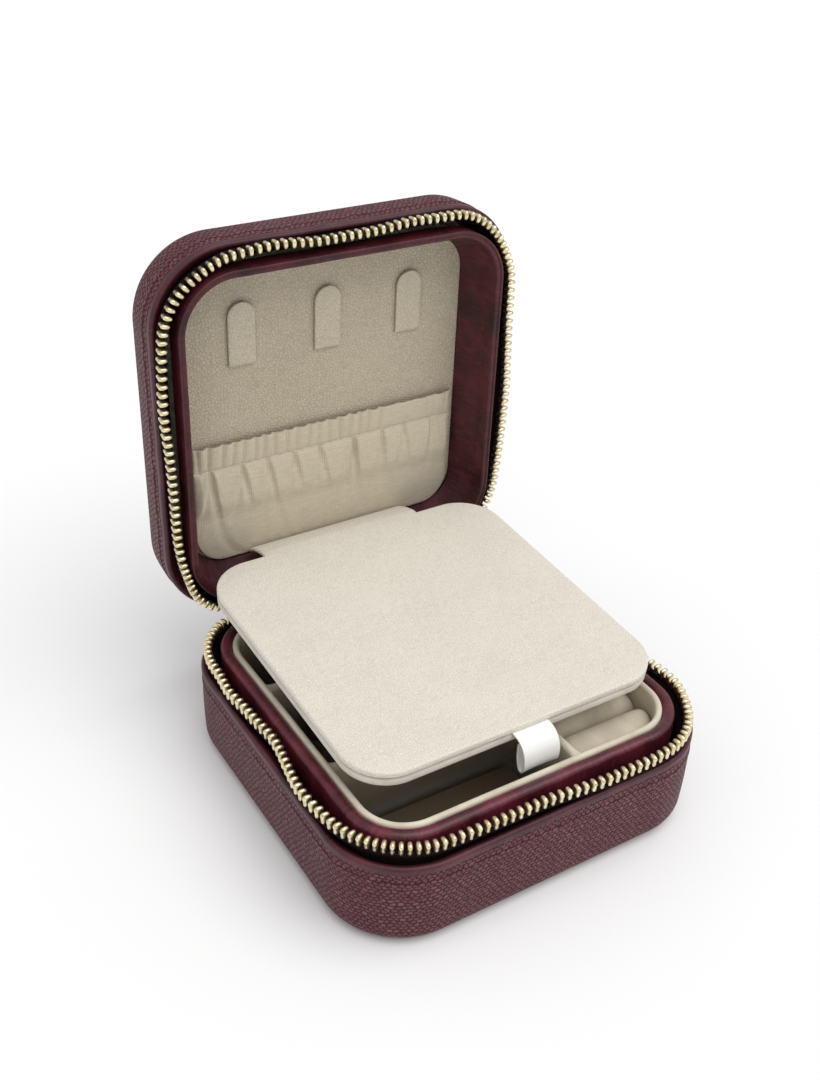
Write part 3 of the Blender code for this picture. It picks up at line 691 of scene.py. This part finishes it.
def zipHardware():
    # a slider of two plates with a bridge and a loop on its back, a strap-shaped pull and a bottom stop
    low, high = boxOf("zip_slider")
    body = high.copy()
    body[1] = low[1] + 2.7
    middle = (low + high) / 2
    plate = 0.75
    inner = surface("sliderInner", pill(low, np.array([body[0], low[1] + plate, body[2]]), 0.3, 1, corner=1.6),
                    looks["hardware"])
    outer = surface("sliderOuter", pill(np.array([low[0], body[1] - plate, low[2]]), body, 0.3, 1, corner=1.6),
                    looks["hardware"])
    bridgeLow = np.array([middle[0] - 1.0, low[1] + 0.3, low[2] + 0.8])
    bridgeHigh = np.array([middle[0] + 1.0, body[1] - 0.3, body[2] - 0.8])
    bridge = surface("sliderBridge", pill(bridgeLow, bridgeHigh, 0.3, 1, corner=0.6), looks["hardware"])
    bail = boxOf("zip_pull")[1][2]
    angle = np.linspace(0.0, pi, 19)
    loop = np.stack([0 * angle + middle[0], body[1] - 0.3 + (high[1] - body[1] + 0.1) * np.sin(angle),
                     bail + 0.9 + 1.15 * np.cos(angle)], 1)
    loop = surface("sliderLoop", tube(loop, 0.34), looks["hardware"])
    place(joined("slider_body", [inner, outer, bridge, loop]), "base", "gold_metal", "zip_slider")
    low, high = boxOf("zip_pull")
    # the pull: a strap that narrows to the loop, one closed skin
    t = np.linspace(0.0, 1.0, 40)
    half = 0.5 * (high[0] - low[0]) * (0.52 + 0.48 * np.clip((t - 0.06) / 0.34, 0, 1) ** 0.7)
    tip = np.sqrt(np.clip(1 - ((t - 0.90) / 0.10).clip(0, 1) ** 2, 0.02, 1)) * np.sqrt(np.clip(t / 0.05, 0.05, 1))
    ring = np.arange(28) / 28 * 2 * pi
    wide, deep = squashedRing(ring, 0.35, 0.55)
    thick = 0.5 * (high[1] - low[1]) * (1.0 - 0.22 * np.exp(-((t - 0.62) / 0.22) ** 4))
    middle = (low + high) / 2
    grid = np.stack([middle[0] + (half * tip)[:, None] * wide, middle[1] + thick[:, None] * deep,
                     (high[2] - t * (high[2] - low[2]))[:, None] + 0 * ring], -1)
    place(surface("pull_strap", grid, looks["hardware"]), "zip_pull", "gold_metal", "zip_pull")
    low, high = boxOf("zip_bottom_stop")
    place(surface("bottom_stop", pill(low, high, 0.45, 1, corner=0.8), looks["hardware"]), "base", "gold_metal",
          "zip_bottom_stop")


zipHardware()
print("zip hardware made")


collar = {
    "in": 4.95, "thick": 2.95, "top": 0.32,
    "lean": 3.2, "upright": 5.2, "lidThick": 2.0, "lidFoot": 13.2,   # the lid's collar leans in below its upright part
}


def baseCollar():
    # a padded wall with one wide round roll at its top, its sides wrinkled
    a, b = collar["in"], collar["in"] + collar["thick"]
    low = case["hingeZ"] - boxOf("base_collar")[0][2]
    roll = [((a + b) / 2 - (b - a) / 2 * cos(k), collar["top"] + 1.35 - 1.35 * sin(k) ** 0.85)
            for k in np.linspace(0.0, pi, 21)]
    down = np.linspace(collar["top"] + 1.6, low - 0.4, 24)
    points = roll + [(b, k) for k in down] + [(b - 0.4, low), (a + 0.4, low)] + [(a, k) for k in down[::-1]]
    inset, height = np.array(points).T
    u = rim[2]
    soft = smoothNoise(u, rimLength, 31, 6.0, 26.0) * 0.10 + smoothNoise(u, rimLength, 32, 2.2, 5.0) * 0.035
    side = np.where(inset < (a + b) / 2, 1.0, 0.35)[:, None]
    side = side * np.clip((height - collar["top"]) / 1.4, 0.25, 1.0)[:, None]
    dip = smoothNoise(u, rimLength, 33, 8.0, 35.0) * 0.06
    grid = sweep(rim, inset[:, None] + side * np.abs(soft)[None], height[:, None] + np.abs(dip)[None])
    made = surface("base_padded_collar", intoHalf(grid, "base"), looks["collar"], closeRows=True)
    place(made, "base", "smooth_burgundy_leather", "base_collar")


def lidCollar():
    # a narrow bead at the rim; the inner face goes in straight, then leans towards the panel with a soft belly
    a, b, foot = collar["in"], collar["in"] + collar["lidThick"], collar["lidFoot"]
    turn = np.linspace(0.0, pi, 11)
    bead = [(a + 0.36 - 0.36 * cos(k), collar["top"] + 0.36 - 0.36 * sin(k)) for k in turn]
    top = [(a + 0.9, collar["top"] + 0.40), (a + 1.2, collar["top"] + 0.26), (b - 0.5, collar["top"] + 0.22)]
    top += [(b - 0.2, collar["top"] + 0.38), (b - 0.03, collar["top"] + 0.75)]
    inner = np.linspace(collar["top"] + 1.3, foot, 30)
    lean = collar["lean"] * np.clip((inner - collar["upright"]) / (foot - collar["upright"]), 0, 1) ** 1.25
    belly = 0.16 * np.sin(np.clip((inner - 1.5) / (foot - 1.5), 0, 1) * pi)
    outerLean = np.clip((inner[::-1] - collar["upright"]) / (foot - collar["upright"]), 0, 1)
    outerIn = a + 0.05 + (collar["lean"] - 0.3) * outerLean
    points = bead + top + list(zip(b + lean - 0.1 + belly, inner)) + [(b + collar["lean"] - 0.9, foot + 0.05)]
    points += list(zip(outerIn, inner[::-1])) + [(a + 0.26, collar["top"] + 1.0), (a + 0.18, collar["top"] + 0.6)]
    inset, height = np.array(points).T
    u = rim[2]
    fine = smoothNoise(u, rimLength, 41, 2.0, 5.5) * 0.05
    soft = smoothNoise(u, rimLength, 42, 7.0, 30.0) * 0.16
    innerSide = (np.arange(len(inset)) > 15) & (np.arange(len(inset)) < 48)
    weight = innerSide * np.clip((height - 1.0) / 3.0, 0.0, 1.0) * np.clip((foot - height) / 2.0, 0.0, 1.0)
    weight = weight[:, None]
    slope = np.sin(height[:, None] * 0.8 + smoothNoise(u, rimLength, 43, 12.0, 50.0)[None] * 2.5) * 0.07
    dip = np.abs(smoothNoise(u, rimLength, 44, 9.0, 40.0)) * 0.08 * (height < 3.0)[:, None]
    grid = sweep(rim, inset[:, None] + weight * ((fine + soft)[None] + slope), height[:, None] + dip)
    made = surface("lid_padded_collar", intoHalf(grid, "lid"), looks["lidCollar"], closeRows=True)
    place(made, "lid", "smooth_burgundy_leather", "lid_collar")


baseCollar()
lidCollar()
print("collars made")


tray = {"in": 8.05, "wall": 1.6, "rim": 28.8, "low": 3.1, "floor": 5.3, "fillet": 1.8, "round": 0.8}


def trayShell():
    # profile from the middle of the underside, up the outside, over a round rim, down the inside and over a fillet
    # to the middle of the floor
    a, b, top, low, floor = tray["in"], tray["in"] + tray["wall"], tray["rim"], tray["low"], tray["floor"]
    r, f = tray["round"], tray["fillet"]
    points = [(12.0, low, k) for k in (0.05, 0.4, 0.8, 1.0)] + [(a + 0.3, low, 1.0), (a, low + 0.3, 1.0)]
    points += [(a, z, 1.0) for z in np.linspace(low + 2, top - r - 0.2, 10)]
    points += [((a + b) / 2 - (b - a) / 2 * cos(k), top - r + r * sin(k), 1.0) for k in np.linspace(0, pi, 15)]
    points += [(b + 0.05 * sin(z), z, 1.0) for z in np.linspace(top - r - 0.6, floor + f + 0.2, 18)]
    points += [(b + f - f * cos(k), floor + f - f * sin(k), 1.0) for k in np.linspace(0, pi / 2, 8)]
    points += [(13.0, floor, k) for k in (1.0, 0.8, 0.5, 0.25, 0.05)]
    inset, height, shrink = np.array(points).T
    grid = sweep(rim, inset, height, shrink)
    wave = smoothNoise(rim[2], rimLength, 51, 12.0, 50.0) * 0.06
    grid[..., 2] += wave[None] * np.clip((height - 20.0) / 8.0, 0, 1)[:, None]
    made = surface("velvet_tray", grid, looks["trayVelvet"], flatAxis=2)
    place(made, "base", "cream_velvet", "tray_shell")


def trayDivider(name, node, axis):
    # an upright bar with a round top; its thickness flares at both ends where the velvet turns into the walls
    low, high = boxOf(node)
    flat = [axis, 1 - axis]
    start, end = low[axis] - 0.15, high[axis] + 0.15
    run = start + (end - start) * (1 - np.cos(np.linspace(0, pi, 90))) / 2
    flare = 1.0 + 1.9 * (np.exp(-(run - start) / 0.75) + np.exp(-(end - run) / 0.75))
    half = (high[flat[1]] - low[flat[1]]) / 2
    middle = (high[flat[1]] + low[flat[1]]) / 2
    sag = 0.35 * np.sin((run - start) / (end - start) * pi)
    angle = np.linspace(0, pi, 13)
    side = np.r_[half, np.cos(angle) * half, -half, -half, half]
    rise = np.r_[0.55, np.sin(angle) * half - half + 1.0, 0.55, 0.0, 0.0]
    whole = high[2] - low[2]
    rise = np.where(np.arange(len(side)) < 14, np.where(rise == 0.55, 0.45 * whole, whole - 1.0 + rise), rise)
    rise[0], rise[14] = 0.4 * whole, 0.4 * whole
    z = low[2] + rise[:, None] - sag[None] * (rise[:, None] > 0.5 * whole)
    grid = np.empty((len(side), len(run), 3))
    grid[..., flat[0]] = run[None]
    grid[..., flat[1]] = middle + side[:, None] * flare[None]
    grid[..., 2] = z
    place(surface(name, grid, looks["trayVelvet"], closeRows=True, closeCols=False), "base", "cream_velvet", node)


def ringRolls():
    # foam rolls side by side: a flat-bottomed rounded section carried along x, pulled in at its ends,
    # its right end following the tray's round corner
    corner = case["corner"] - tray["in"] - tray["wall"] - 0.15
    centre = case["half"] - case["corner"]
    made = []
    for number in range(1, 8):
        low, high = boxOf(f"ring_roll_{number}")
        angle = np.arange(40) / 40 * 2 * pi
        c, s = np.cos(angle), np.sin(angle)
        y = (low[1] + high[1]) / 2 + (high[1] - low[1] + 0.16) / 2 * np.sign(c) * np.abs(c) ** 0.62
        z = np.where(s > 0, high[2] - 6.0 + 6.3 * np.abs(s) ** 0.80,
                     high[2] - 6.0 - (high[2] - 6.0 - low[2]) * np.abs(s) ** 0.3)
        t = (1 - np.cos(np.linspace(0.05, 1.0, 34) * pi)) / 2
        pull = np.sqrt(np.clip(1 - np.abs(2 * t - 1) ** 9, 0.0, 1.0))
        pull = 0.25 + 0.75 * pull
        over = np.clip(np.abs(y) - centre, 0, corner)
        end = centre + np.sqrt(np.clip(corner ** 2 - over ** 2, 1.0, None))
        end = np.minimum(end, high[0] + 0.1)
        x = low[0] + 0.1 + t[:, None] * (end[None] - low[0] - 0.1)
        dent = smoothNoise(t * 26.0, 26.0, 60 + number, 7.0, 20.0) * 0.10
        yy = (low[1] + high[1]) / 2 + (y - (low[1] + high[1]) / 2)[None] * (0.9 + 0.1 * pull[:, None])
        zz = low[2] + (z - low[2])[None] * (0.80 + 0.20 * pull[:, None]) + dent[:, None] * (s > 0)[None]
        made.append(surface(f"roll{number}", np.stack([x, yy, zz], -1), looks["trayVelvet"]))
    whole = joined("ring_rolls", made)
    place(whole, "base", "cream_velvet", *[f"ring_roll_{n}" for n in range(1, 8)])


trayShell()
trayDivider("long_divider", "tray_long_divider", 1)
trayDivider("cross_divider_front", "tray_cross_divider_1", 0)
trayDivider("cross_divider_rear", "tray_cross_divider_2", 0)
ringRolls()
print("tray made")


lining = {"panelHalf": 43.05, "panelH": 13.5, "panelCrown": 0.16, "panelThick": 3.2}


def lidPanel():
    # a padded board: the face is flat with a slight crown and rolls back at its edge
    plan = outline(lining["panelHalf"], lining["panelHalf"], 13.0, np.arange(240) / 240)
    r = 1.0
    turn = np.linspace(0, pi / 2, 7)
    face = [(12.5, lining["panelH"] - lining["panelCrown"], k) for k in (0.04, 0.2, 0.4, 0.6, 0.8, 1.0)]
    face += [(8.0, lining["panelH"] - 0.6 * lining["panelCrown"], 1.0), (3.0, lining["panelH"], 1.0)]
    face += [(r - r * sin(k), lining["panelH"] + r - r * cos(k), 1.0) for k in turn]
    face += [(0.0, lining["panelH"] + lining["panelThick"], 1.0)]
    face += [(12.0, lining["panelH"] + lining["panelThick"], k) for k in (1.0, 0.5, 0.05)]
    inset, height, shrink = np.array(face).T
    grid = sweep(plan, inset, height, shrink)
    made = surface("lid_lining_panel", intoHalf(grid, "lid"), looks["panelLeather"], flatAxis=1)
    place(made, "lid", "cream_leather", "lid_back_panel")


tongue = {"half": 3.7, "thick": 0.80, "lift": 0.30, "edge": 4.0}


def lidTongue(number):
    # a strap with a half-round tip: every row is a rounded bar across, as wide as the outline is at its height
    low, high = boxOf(f"necklace_tongue_{number}")
    half, tip, foot = tongue["half"], high[2], low[2]
    straight = np.linspace(foot, tip - half, 22)
    turn = np.linspace(0.0, pi / 2 * 0.965, 16)[1:]
    z = np.r_[straight, tip - half + half * np.sin(turn)]
    wide = np.r_[np.full(22, half), half * np.cos(turn)]
    ring = np.arange(32) / 32 * 2 * pi
    power = 2.0 / tongue["edge"]
    side, deep = squashedRing(ring, power, power)
    t = (z - foot) / (tip - foot)
    thick = tongue["thick"] / 2 * np.r_[0.55, 0.8, np.ones(len(z) - 5), 0.96, 0.85, 0.6]
    middle = high[1] - 0.04 - tongue["thick"] / 2 - tongue["lift"] * t ** 2
    grid = np.stack([(low[0] + high[0]) / 2 + wide[:, None] * side, middle[:, None] + thick[:, None] * deep,
                     z[:, None] + 0 * ring], -1)
    made = surface(f"tongue_strap_{number}", grid, looks["tongueLeather"])
    place(made, f"tongue_{number}", "cream_leather", f"necklace_tongue_{number}")


pocket = {
    "half": 38.6, "foot": 37.1, "top": 71.8, "stitch": 64.7, "back": 60.62, "thick": 0.42, "corner": 8.6,
    "belly": 1.35, "folds": 9, "pleats": 25, "calm": 17.0, "seed": 5, "flatTo": 49.5,
}


def pocketDepth(x, z):
    # how far the cloth stands off the panel: a belly between the foot and the stitch line, cut by sharp valleys in
    # pairs that start at one stitch, lean apart and die out lower down, each with a ridge beside it; narrow upright
    # pleats above the stitches; both fade towards the right end
    p = pocket
    draw = np.random.default_rng(p["seed"])
    down = np.clip((p["stitch"] - z) / (p["stitch"] - p["foot"]), 0.0, 1.0)
    above = np.clip((z - p["stitch"]) / (p["top"] - p["stitch"]), 0.0, 1.0)
    below = z < p["stitch"]
    deep = np.where(below, 0.30 + p["belly"] * np.sin(down ** 0.62 * pi) ** 0.75,
                    0.45 + 1.05 * np.sin(above * pi / 1.9))
    folds = np.zeros_like(deep)
    for start in np.linspace(-p["half"] + 3.0, p["half"] - 4.0, p["folds"]) + draw.uniform(-2.4, 2.4, p["folds"]):
        strong = 1.0 if start < p["calm"] else 0.45
        for side in (-1.0, 1.0):
            lean, reach = side * draw.uniform(1.0, 7.5), draw.uniform(0.4, 1.9)
            size = draw.uniform(0.35, 1.15) * strong
            centre = start + lean * down ** 1.25
            spread = 0.55 + 1.15 * down
            fade = np.clip(1.0 - down / reach, 0.0, 1.0) ** 0.7 * below
            folds += size * fade * (np.exp(-((x - centre) / spread) ** 2)
                                    - 0.45 * np.exp(-((x - centre - side * 1.7 * spread) / spread) ** 2))
    pleats = np.zeros_like(deep)
    starts = np.linspace(-p["half"] + 1.2, p["half"] - 2.0, p["pleats"])
    for start in starts + draw.uniform(-0.55, 0.55, p["pleats"]):
        strong = 1.0 if start < p["calm"] else 0.30
        line = start + draw.uniform(-0.5, 0.5) * above
        size = strong * draw.uniform(0.65, 1.0)
        pleats += size * np.exp(-(np.abs(x - line) / (0.52 + 0.22 * above)) ** 1.6) * ~below
    deep = deep - np.clip(folds, -0.5, 1.05) * (0.15 + 0.80 * deep)
    deep = deep - 1.15 * np.clip(pleats, 0.0, 1.0) * (0.45 + 0.55 * above)
    rise = np.clip((z - p["flatTo"]) / 6.0, 0.0, 1.0)
    return np.clip(deep, 0.08, 1.72) * (0.33 + 0.67 * rise * rise * (3.0 - 2.0 * rise))


def lidPocket():
    # the cloth on a grid of x and z, its lower corners cut round, its depth from pocketDepth;
    # a second skin lies behind it
    p = pocket
    x = np.linspace(-1.0, 1.0, 330)
    z = np.r_[np.linspace(p["foot"], p["stitch"] - 0.6, 78), np.linspace(p["stitch"] - 0.35, p["stitch"] + 0.35, 5),
              np.linspace(p["stitch"] + 0.6, p["top"], 24)]
    up = np.clip(p["corner"] - (z - p["foot"]), 0.0, p["corner"])
    half = p["half"] - (p["corner"] - np.sqrt(p["corner"] ** 2 - up ** 2)) * 0.999
    gx, gz = x[None] * half[:, None], z[:, None] + 0 * x[None]
    deep = pocketDepth(x[None] * p["half"] + 0 * gz, gz)
    groove = 0.32 * np.exp(-((gz - p["stitch"]) / 0.45) ** 2)
    edge = np.clip((1.0 - np.abs(x[None])) * p["half"] / 1.6, 0.0, 1.0) ** 0.6
    deep = 0.10 + (np.clip(deep - groove, 0.05, None) - 0.05) * edge
    foot = np.clip((gz - p["foot"]) / 1.2, 0.0, 1.0) ** 0.6
    deep = 0.08 + deep * foot
    frill = 0.10 * smoothNoise((x + 1) * p["half"], 2 * p["half"], 8, 3.5, 12.0)[None]
    gz = gz + frill * np.clip((gz - p["stitch"]) / (p["top"] - p["stitch"]), 0, 1)
    front = np.stack([gx, p["back"] - p["thick"] - deep, gz], -1)
    back = np.stack([gx, np.minimum(p["back"] - deep + 0.05, p["back"]), gz], -1)
    made = leaf("gathered_pocket", front, back, looks["pocket"])
    place(made, "lid", "pocket_cloth", "lid_pocket", "pocket_elastic_hem")
    # small threads lie in the groove, one every few millimetres
    starts = np.arange(-p["half"] + 2.6, p["half"] - 2.0, 2.9)
    t = np.linspace(0.04, 0.96, 8)
    r = 0.19 * np.sqrt(1 - (2 * t - 1) ** 4)
    ring = np.arange(8) / 8 * 2 * pi
    shape = np.stack([(t[:, None] - 0.5) * 2.0 + 0 * ring, r[:, None] * np.cos(ring),
                      r[:, None] * np.sin(ring)], -1)
    at = np.clip(np.searchsorted(x * p["half"], starts), 1, len(x) - 2)
    row = int(np.argmin(np.abs(z - p["stitch"])))
    middles = front[row, at] + np.array([0.0, -0.10, 0.0])
    ahead = front[row, at + 3] - front[row, at - 3]
    ahead = ahead / np.linalg.norm(ahead, axis=1, keepdims=True)
    upward = np.repeat([[0.0, 0.0, 1.0]], len(at), 0)
    axes = np.stack([ahead, np.cross(upward, ahead), upward], 1)
    thread = repeated("pocket_stitches", shape, middles, axes, looks["thread"])
    place(thread, "lid", "pocket_cloth")
    area = ((half[1:] + half[:-1]) * np.diff(z)).sum() / 1e6
    print(f"pocket covers {area * 1e4:.1f} square centimetres of the panel")


lidPanel()
for number in (1, 2, 3):
    lidTongue(number)
lidPocket()
print("lid lining made")


flap = {
    "foldY": 50.3, "foldZ": 41.8, "tilt": 3.0, "gap": 1.0, "above": 0.6, "top": 1.9, "seam": 0.35, "lower": 2.1,
    "halfX": 42.2, "halfY": 41.8, "corner": 11.5, "lowerIn": 0.10,
    "tabLeft": -24.5, "tabRight": 22.5, "tabThick": 1.0, "rootY": 58.6, "rootZ": 39.0,
}


def tilted(grid):
    # from the flap's own (x, y, z), measured from its fold, to the case
    c, s = cos(radians(flap["tilt"])), sin(radians(flap["tilt"]))
    x, y, z = grid[..., 0], grid[..., 1], grid[..., 2]
    return np.stack([x, flap["foldY"] + y * c - z * s, flap["foldZ"] + y * s + z * c], -1)


def flapBoard(name, inset, low, high, edge, crown, look, slot, node):
    # a covered board: rows run from the middle of the underside round a soft edge to the middle of the crowned top
    plan = outline(flap["halfX"] - inset, flap["halfY"] - inset, flap["corner"] - inset, np.arange(360) / 360)
    turn = np.linspace(-pi / 2, pi / 2, 15)
    points = [(11.0, low, k) for k in (0.05, 0.4, 0.8, 1.0)] + [(4.0, low, 1.0)]
    points += [(edge * (1 - cos(k)), (low + high) / 2 + sin(k) * edge + np.sign(k) * ((high - low) / 2 - edge), 1.0)
               for k in turn]
    points += [(2.2, high + 0.35 * crown, 1.0), (5.0, high + 0.7 * crown, 1.0), (8.0, high + 0.9 * crown, 1.0)]
    points += [(11.0, high + crown, k) for k in (1.0, 0.8, 0.6, 0.4, 0.2, 0.05)]
    rowInset, height, shrink = np.array(points).T
    grid = sweep(plan, rowInset, height, shrink)
    grid[..., 1] -= flap["gap"] + flap["halfY"]
    place(surface(name, tilted(grid), look, flatAxis=2), "flap", slot, node)


def flapTab():
    # a leather strip whose middle line is a smooth curve from inside the top board, over the fold,
    # down to its root
    near = tilted(np.array([[0, -3.2, -0.02], [0, -1.3, -0.02], [0, 0.6, -0.08]], float))[:, 1:]
    far = np.array([[flap["rootY"] - 3.6, flap["rootZ"] + 1.55], [flap["rootY"] - 0.6, flap["rootZ"] + 0.25],
                    [flap["rootY"] + 0.05, flap["rootZ"] - 0.55]])
    knots = np.concatenate([near, far])
    line, _ = smoothedLine(knots, 46, 14)
    x = np.linspace(flap["tabLeft"], flap["tabRight"], 60)
    soft = np.clip(np.minimum(x - flap["tabLeft"], flap["tabRight"] - x) / 0.45, 0.0, 1.0) ** 0.5
    half = flap["tabThick"] / 2 * (0.45 + 0.55 * soft)
    skins = [offLine(line, x[None], side * half[None]) for side in (1.0, -1.0)]
    made = leaf("flap_tab", *skins, looks["flapLeather"])
    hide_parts("flap_hinge_tab")
    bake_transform(made)


ribbon = {"half": 5.0, "thick": 0.32, "reach": 4.6, "fall": 9.4, "right": 1.3, "tail": 4.0}


def pullRibbon():
    # a loop of ribbon: it leaves the seam between the boards, turns down in front of them, turns back at its
    # bottom and rises behind itself to the seam again; the front branch bows outwards
    r = ribbon
    seam = flap["above"] - flap["top"] - flap["seam"] / 2
    front = -flap["gap"] - 2 * flap["halfY"]
    out, low = front - r["reach"], seam - r["fall"]
    knots = np.array([[front + r["tail"], seam], [front + 0.6, seam], [front - 0.9, seam + 0.05],
                      [front - 3.2, seam - 0.9], [out, seam - 3.2], [out - 0.1, seam - 6.6],
                      [out + 0.6, low], [out + 1.9, low - 0.1],
                      [front - 1.3, seam - 6.4], [front - 0.95, seam - 4.6], [front - 0.85, seam - 3.2]])
    line, fine = smoothedLine(knots, 96, 40)
    x = np.linspace(-r["half"], r["half"], 26)
    lean = 1.6 * (fine / fine[-1]) ** 1.5
    cup = 0.22 * (x / r["half"]) ** 2 * np.clip(fine / 6.0, 0, 1)[:, None]
    across = x[None] + lean[:, None] + r["right"]
    skins = [tilted(offLine(line, across, side * r["thick"] - cup)) for side in (0.5, -0.5)]
    made = leaf("pull_ribbon", *skins, looks["satin"])
    place(made, "flap", "white_satin", "ribbon_pull")
    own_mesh(made)


spine = {"left": -25.8, "right": 21.2, "half": 0.45, "off": 1.05, "reach": 8.5, "pucker": 0.05}


def rearSpine():
    # a leather strip up the back of the base, round the hinge line and along the lid's back wall, from the zip's
    # bottom stop to its slider; its skin puckers finely where it bends
    off, reach = spine["off"], spine["reach"]
    turn = np.linspace(0.0, pi / 2, 25)
    up = np.stack([np.full(20, -off), np.linspace(-reach, -0.3, 20)], 1)
    arc = np.stack([-off * np.cos(turn), off * np.sin(turn)], 1)
    out = np.stack([np.linspace(0.3, reach, 20), np.full(20, off)], 1)
    line = np.concatenate([up, arc, out]) + [case["hingeY"], case["hingeZ"]]
    x = np.linspace(spine["left"], spine["right"], 130)
    noise = smoothNoise(x - spine["left"], spine["right"] - spine["left"], 71, 2.5, 9.0)
    nearFold = np.exp(-((np.arange(len(line)) - len(line) // 2) / 14.0) ** 2)[:, None]
    pucker = spine["pucker"] * noise[None] * nearFold
    skins = [offLine(line, x[None], side + pucker) for side in (spine["half"], -spine["half"])]
    made = leaf("spine_leather", *skins, looks["spine"])
    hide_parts("rear_spine")
    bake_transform(made)


seam = flap["above"] - flap["top"]
flapBoard("flap_top_leather", 0.0, seam, flap["above"], 0.55, 0.18,
          looks["flapLeather"], "cream_leather", "flap_top_board")
flapBoard("flap_lower_velvet", flap["lowerIn"], seam - flap["seam"] - flap["lower"], seam - flap["seam"], 0.75, 0.0,
          looks["flapVelvet"], "cream_velvet", "flap_lower_board")
flapTab()
pullRibbon()
rearSpine()
print("flap made")

for name in ("base_bottom_board", "base_wall_board", "lid_top_board", "lid_wall_board"):
    frame["nodes"][name].data.materials.clear()
    frame["nodes"][name].data.materials.append(looks["board"])


studio = {
    "world": 0.58, "key": 1.62, "keySoft": 62.0, "keyFrom": (0.24, -0.36, 1.0),
    "fill": 0.20, "fillSoft": 70.0, "fillFrom": (-0.9, -0.2, 0.7),
    "floor": (0.955, 0.955, 0.955),
}


def paleFloor():
    look = Look("pale_floor", Specular_IOR_Level=0.2)
    tone = look.place.noise(0.01, 2.0)
    low = tuple(c - 0.01 for c in studio["floor"])
    material = look.set(tone.blend(low, studio["floor"]), tone * 0.02 + 0.9)
    mesh = bpy.data.meshes.new("floor")
    mesh.from_pydata([(-4, -4, -0.0002), (4, -4, -0.0002), (4, 4, -0.0002), (-4, 4, -0.0002)], [], [(0, 1, 2, 3)])
    mesh.materials.append(material)
    floor = bpy.data.objects.new("floor", mesh)
    bpy.context.scene.collection.objects.link(floor)


def softLight(name, direction, soft, power):
    # a wide even light from one side of the sky
    light = bpy.data.lights.new(name, "SUN")
    light.angle, light.energy = radians(soft), power
    made = bpy.data.objects.new(name, light)
    made.rotation_euler = (-Vector(direction)).to_track_quat("-Z", "Y").to_euler()
    bpy.context.scene.collection.objects.link(made)


view = {"turn": -33.053, "tip": 32.682, "roll": 2.594, "lens": 42.40, "place": (-0.14385, -0.20353, 0.22692)}


def studioCamera():
    # the camera looks back along its own direction from the case, rolled a little about it
    turn, tip, roll = radians(view["turn"]), radians(view["tip"]), radians(view["roll"])
    back = Vector((sin(turn) * cos(tip), -cos(turn) * cos(tip), sin(tip)))
    right = (-back).cross(Vector((0, 0, 1))).normalized()
    up = right.cross(-back)
    across = right * cos(roll) + up * sin(roll)
    upright = -right * sin(roll) + up * cos(roll)
    lens = bpy.data.cameras.new("camera")
    lens.lens, lens.sensor_width, lens.sensor_fit = view["lens"], 36.0, "AUTO"
    lens.clip_start, lens.clip_end = 0.01, 20.0
    camera = bpy.data.objects.new("camera", lens)
    camera.matrix_world = Matrix([(across[k], upright[k], back[k], view["place"][k]) for k in range(3)]
                                 + [(0, 0, 0, 1)])
    bpy.context.scene.collection.objects.link(camera)
    bpy.context.scene.camera = camera


paleFloor()
softLight("key", studio["keyFrom"], studio["keySoft"], studio["key"])
softLight("fill", studio["fillFrom"], studio["fillSoft"], studio["fill"])
studioCamera()
world = bpy.data.worlds.new("studio")
world.use_nodes = True
world.node_tree.nodes["Background"].inputs["Color"].default_value = (1.0, 1.0, 1.0, 1.0)
world.node_tree.nodes["Background"].inputs["Strength"].default_value = studio["world"]
bpy.context.scene.world = world
bpy.context.scene.view_settings.view_transform = "Standard"
print("studio made")
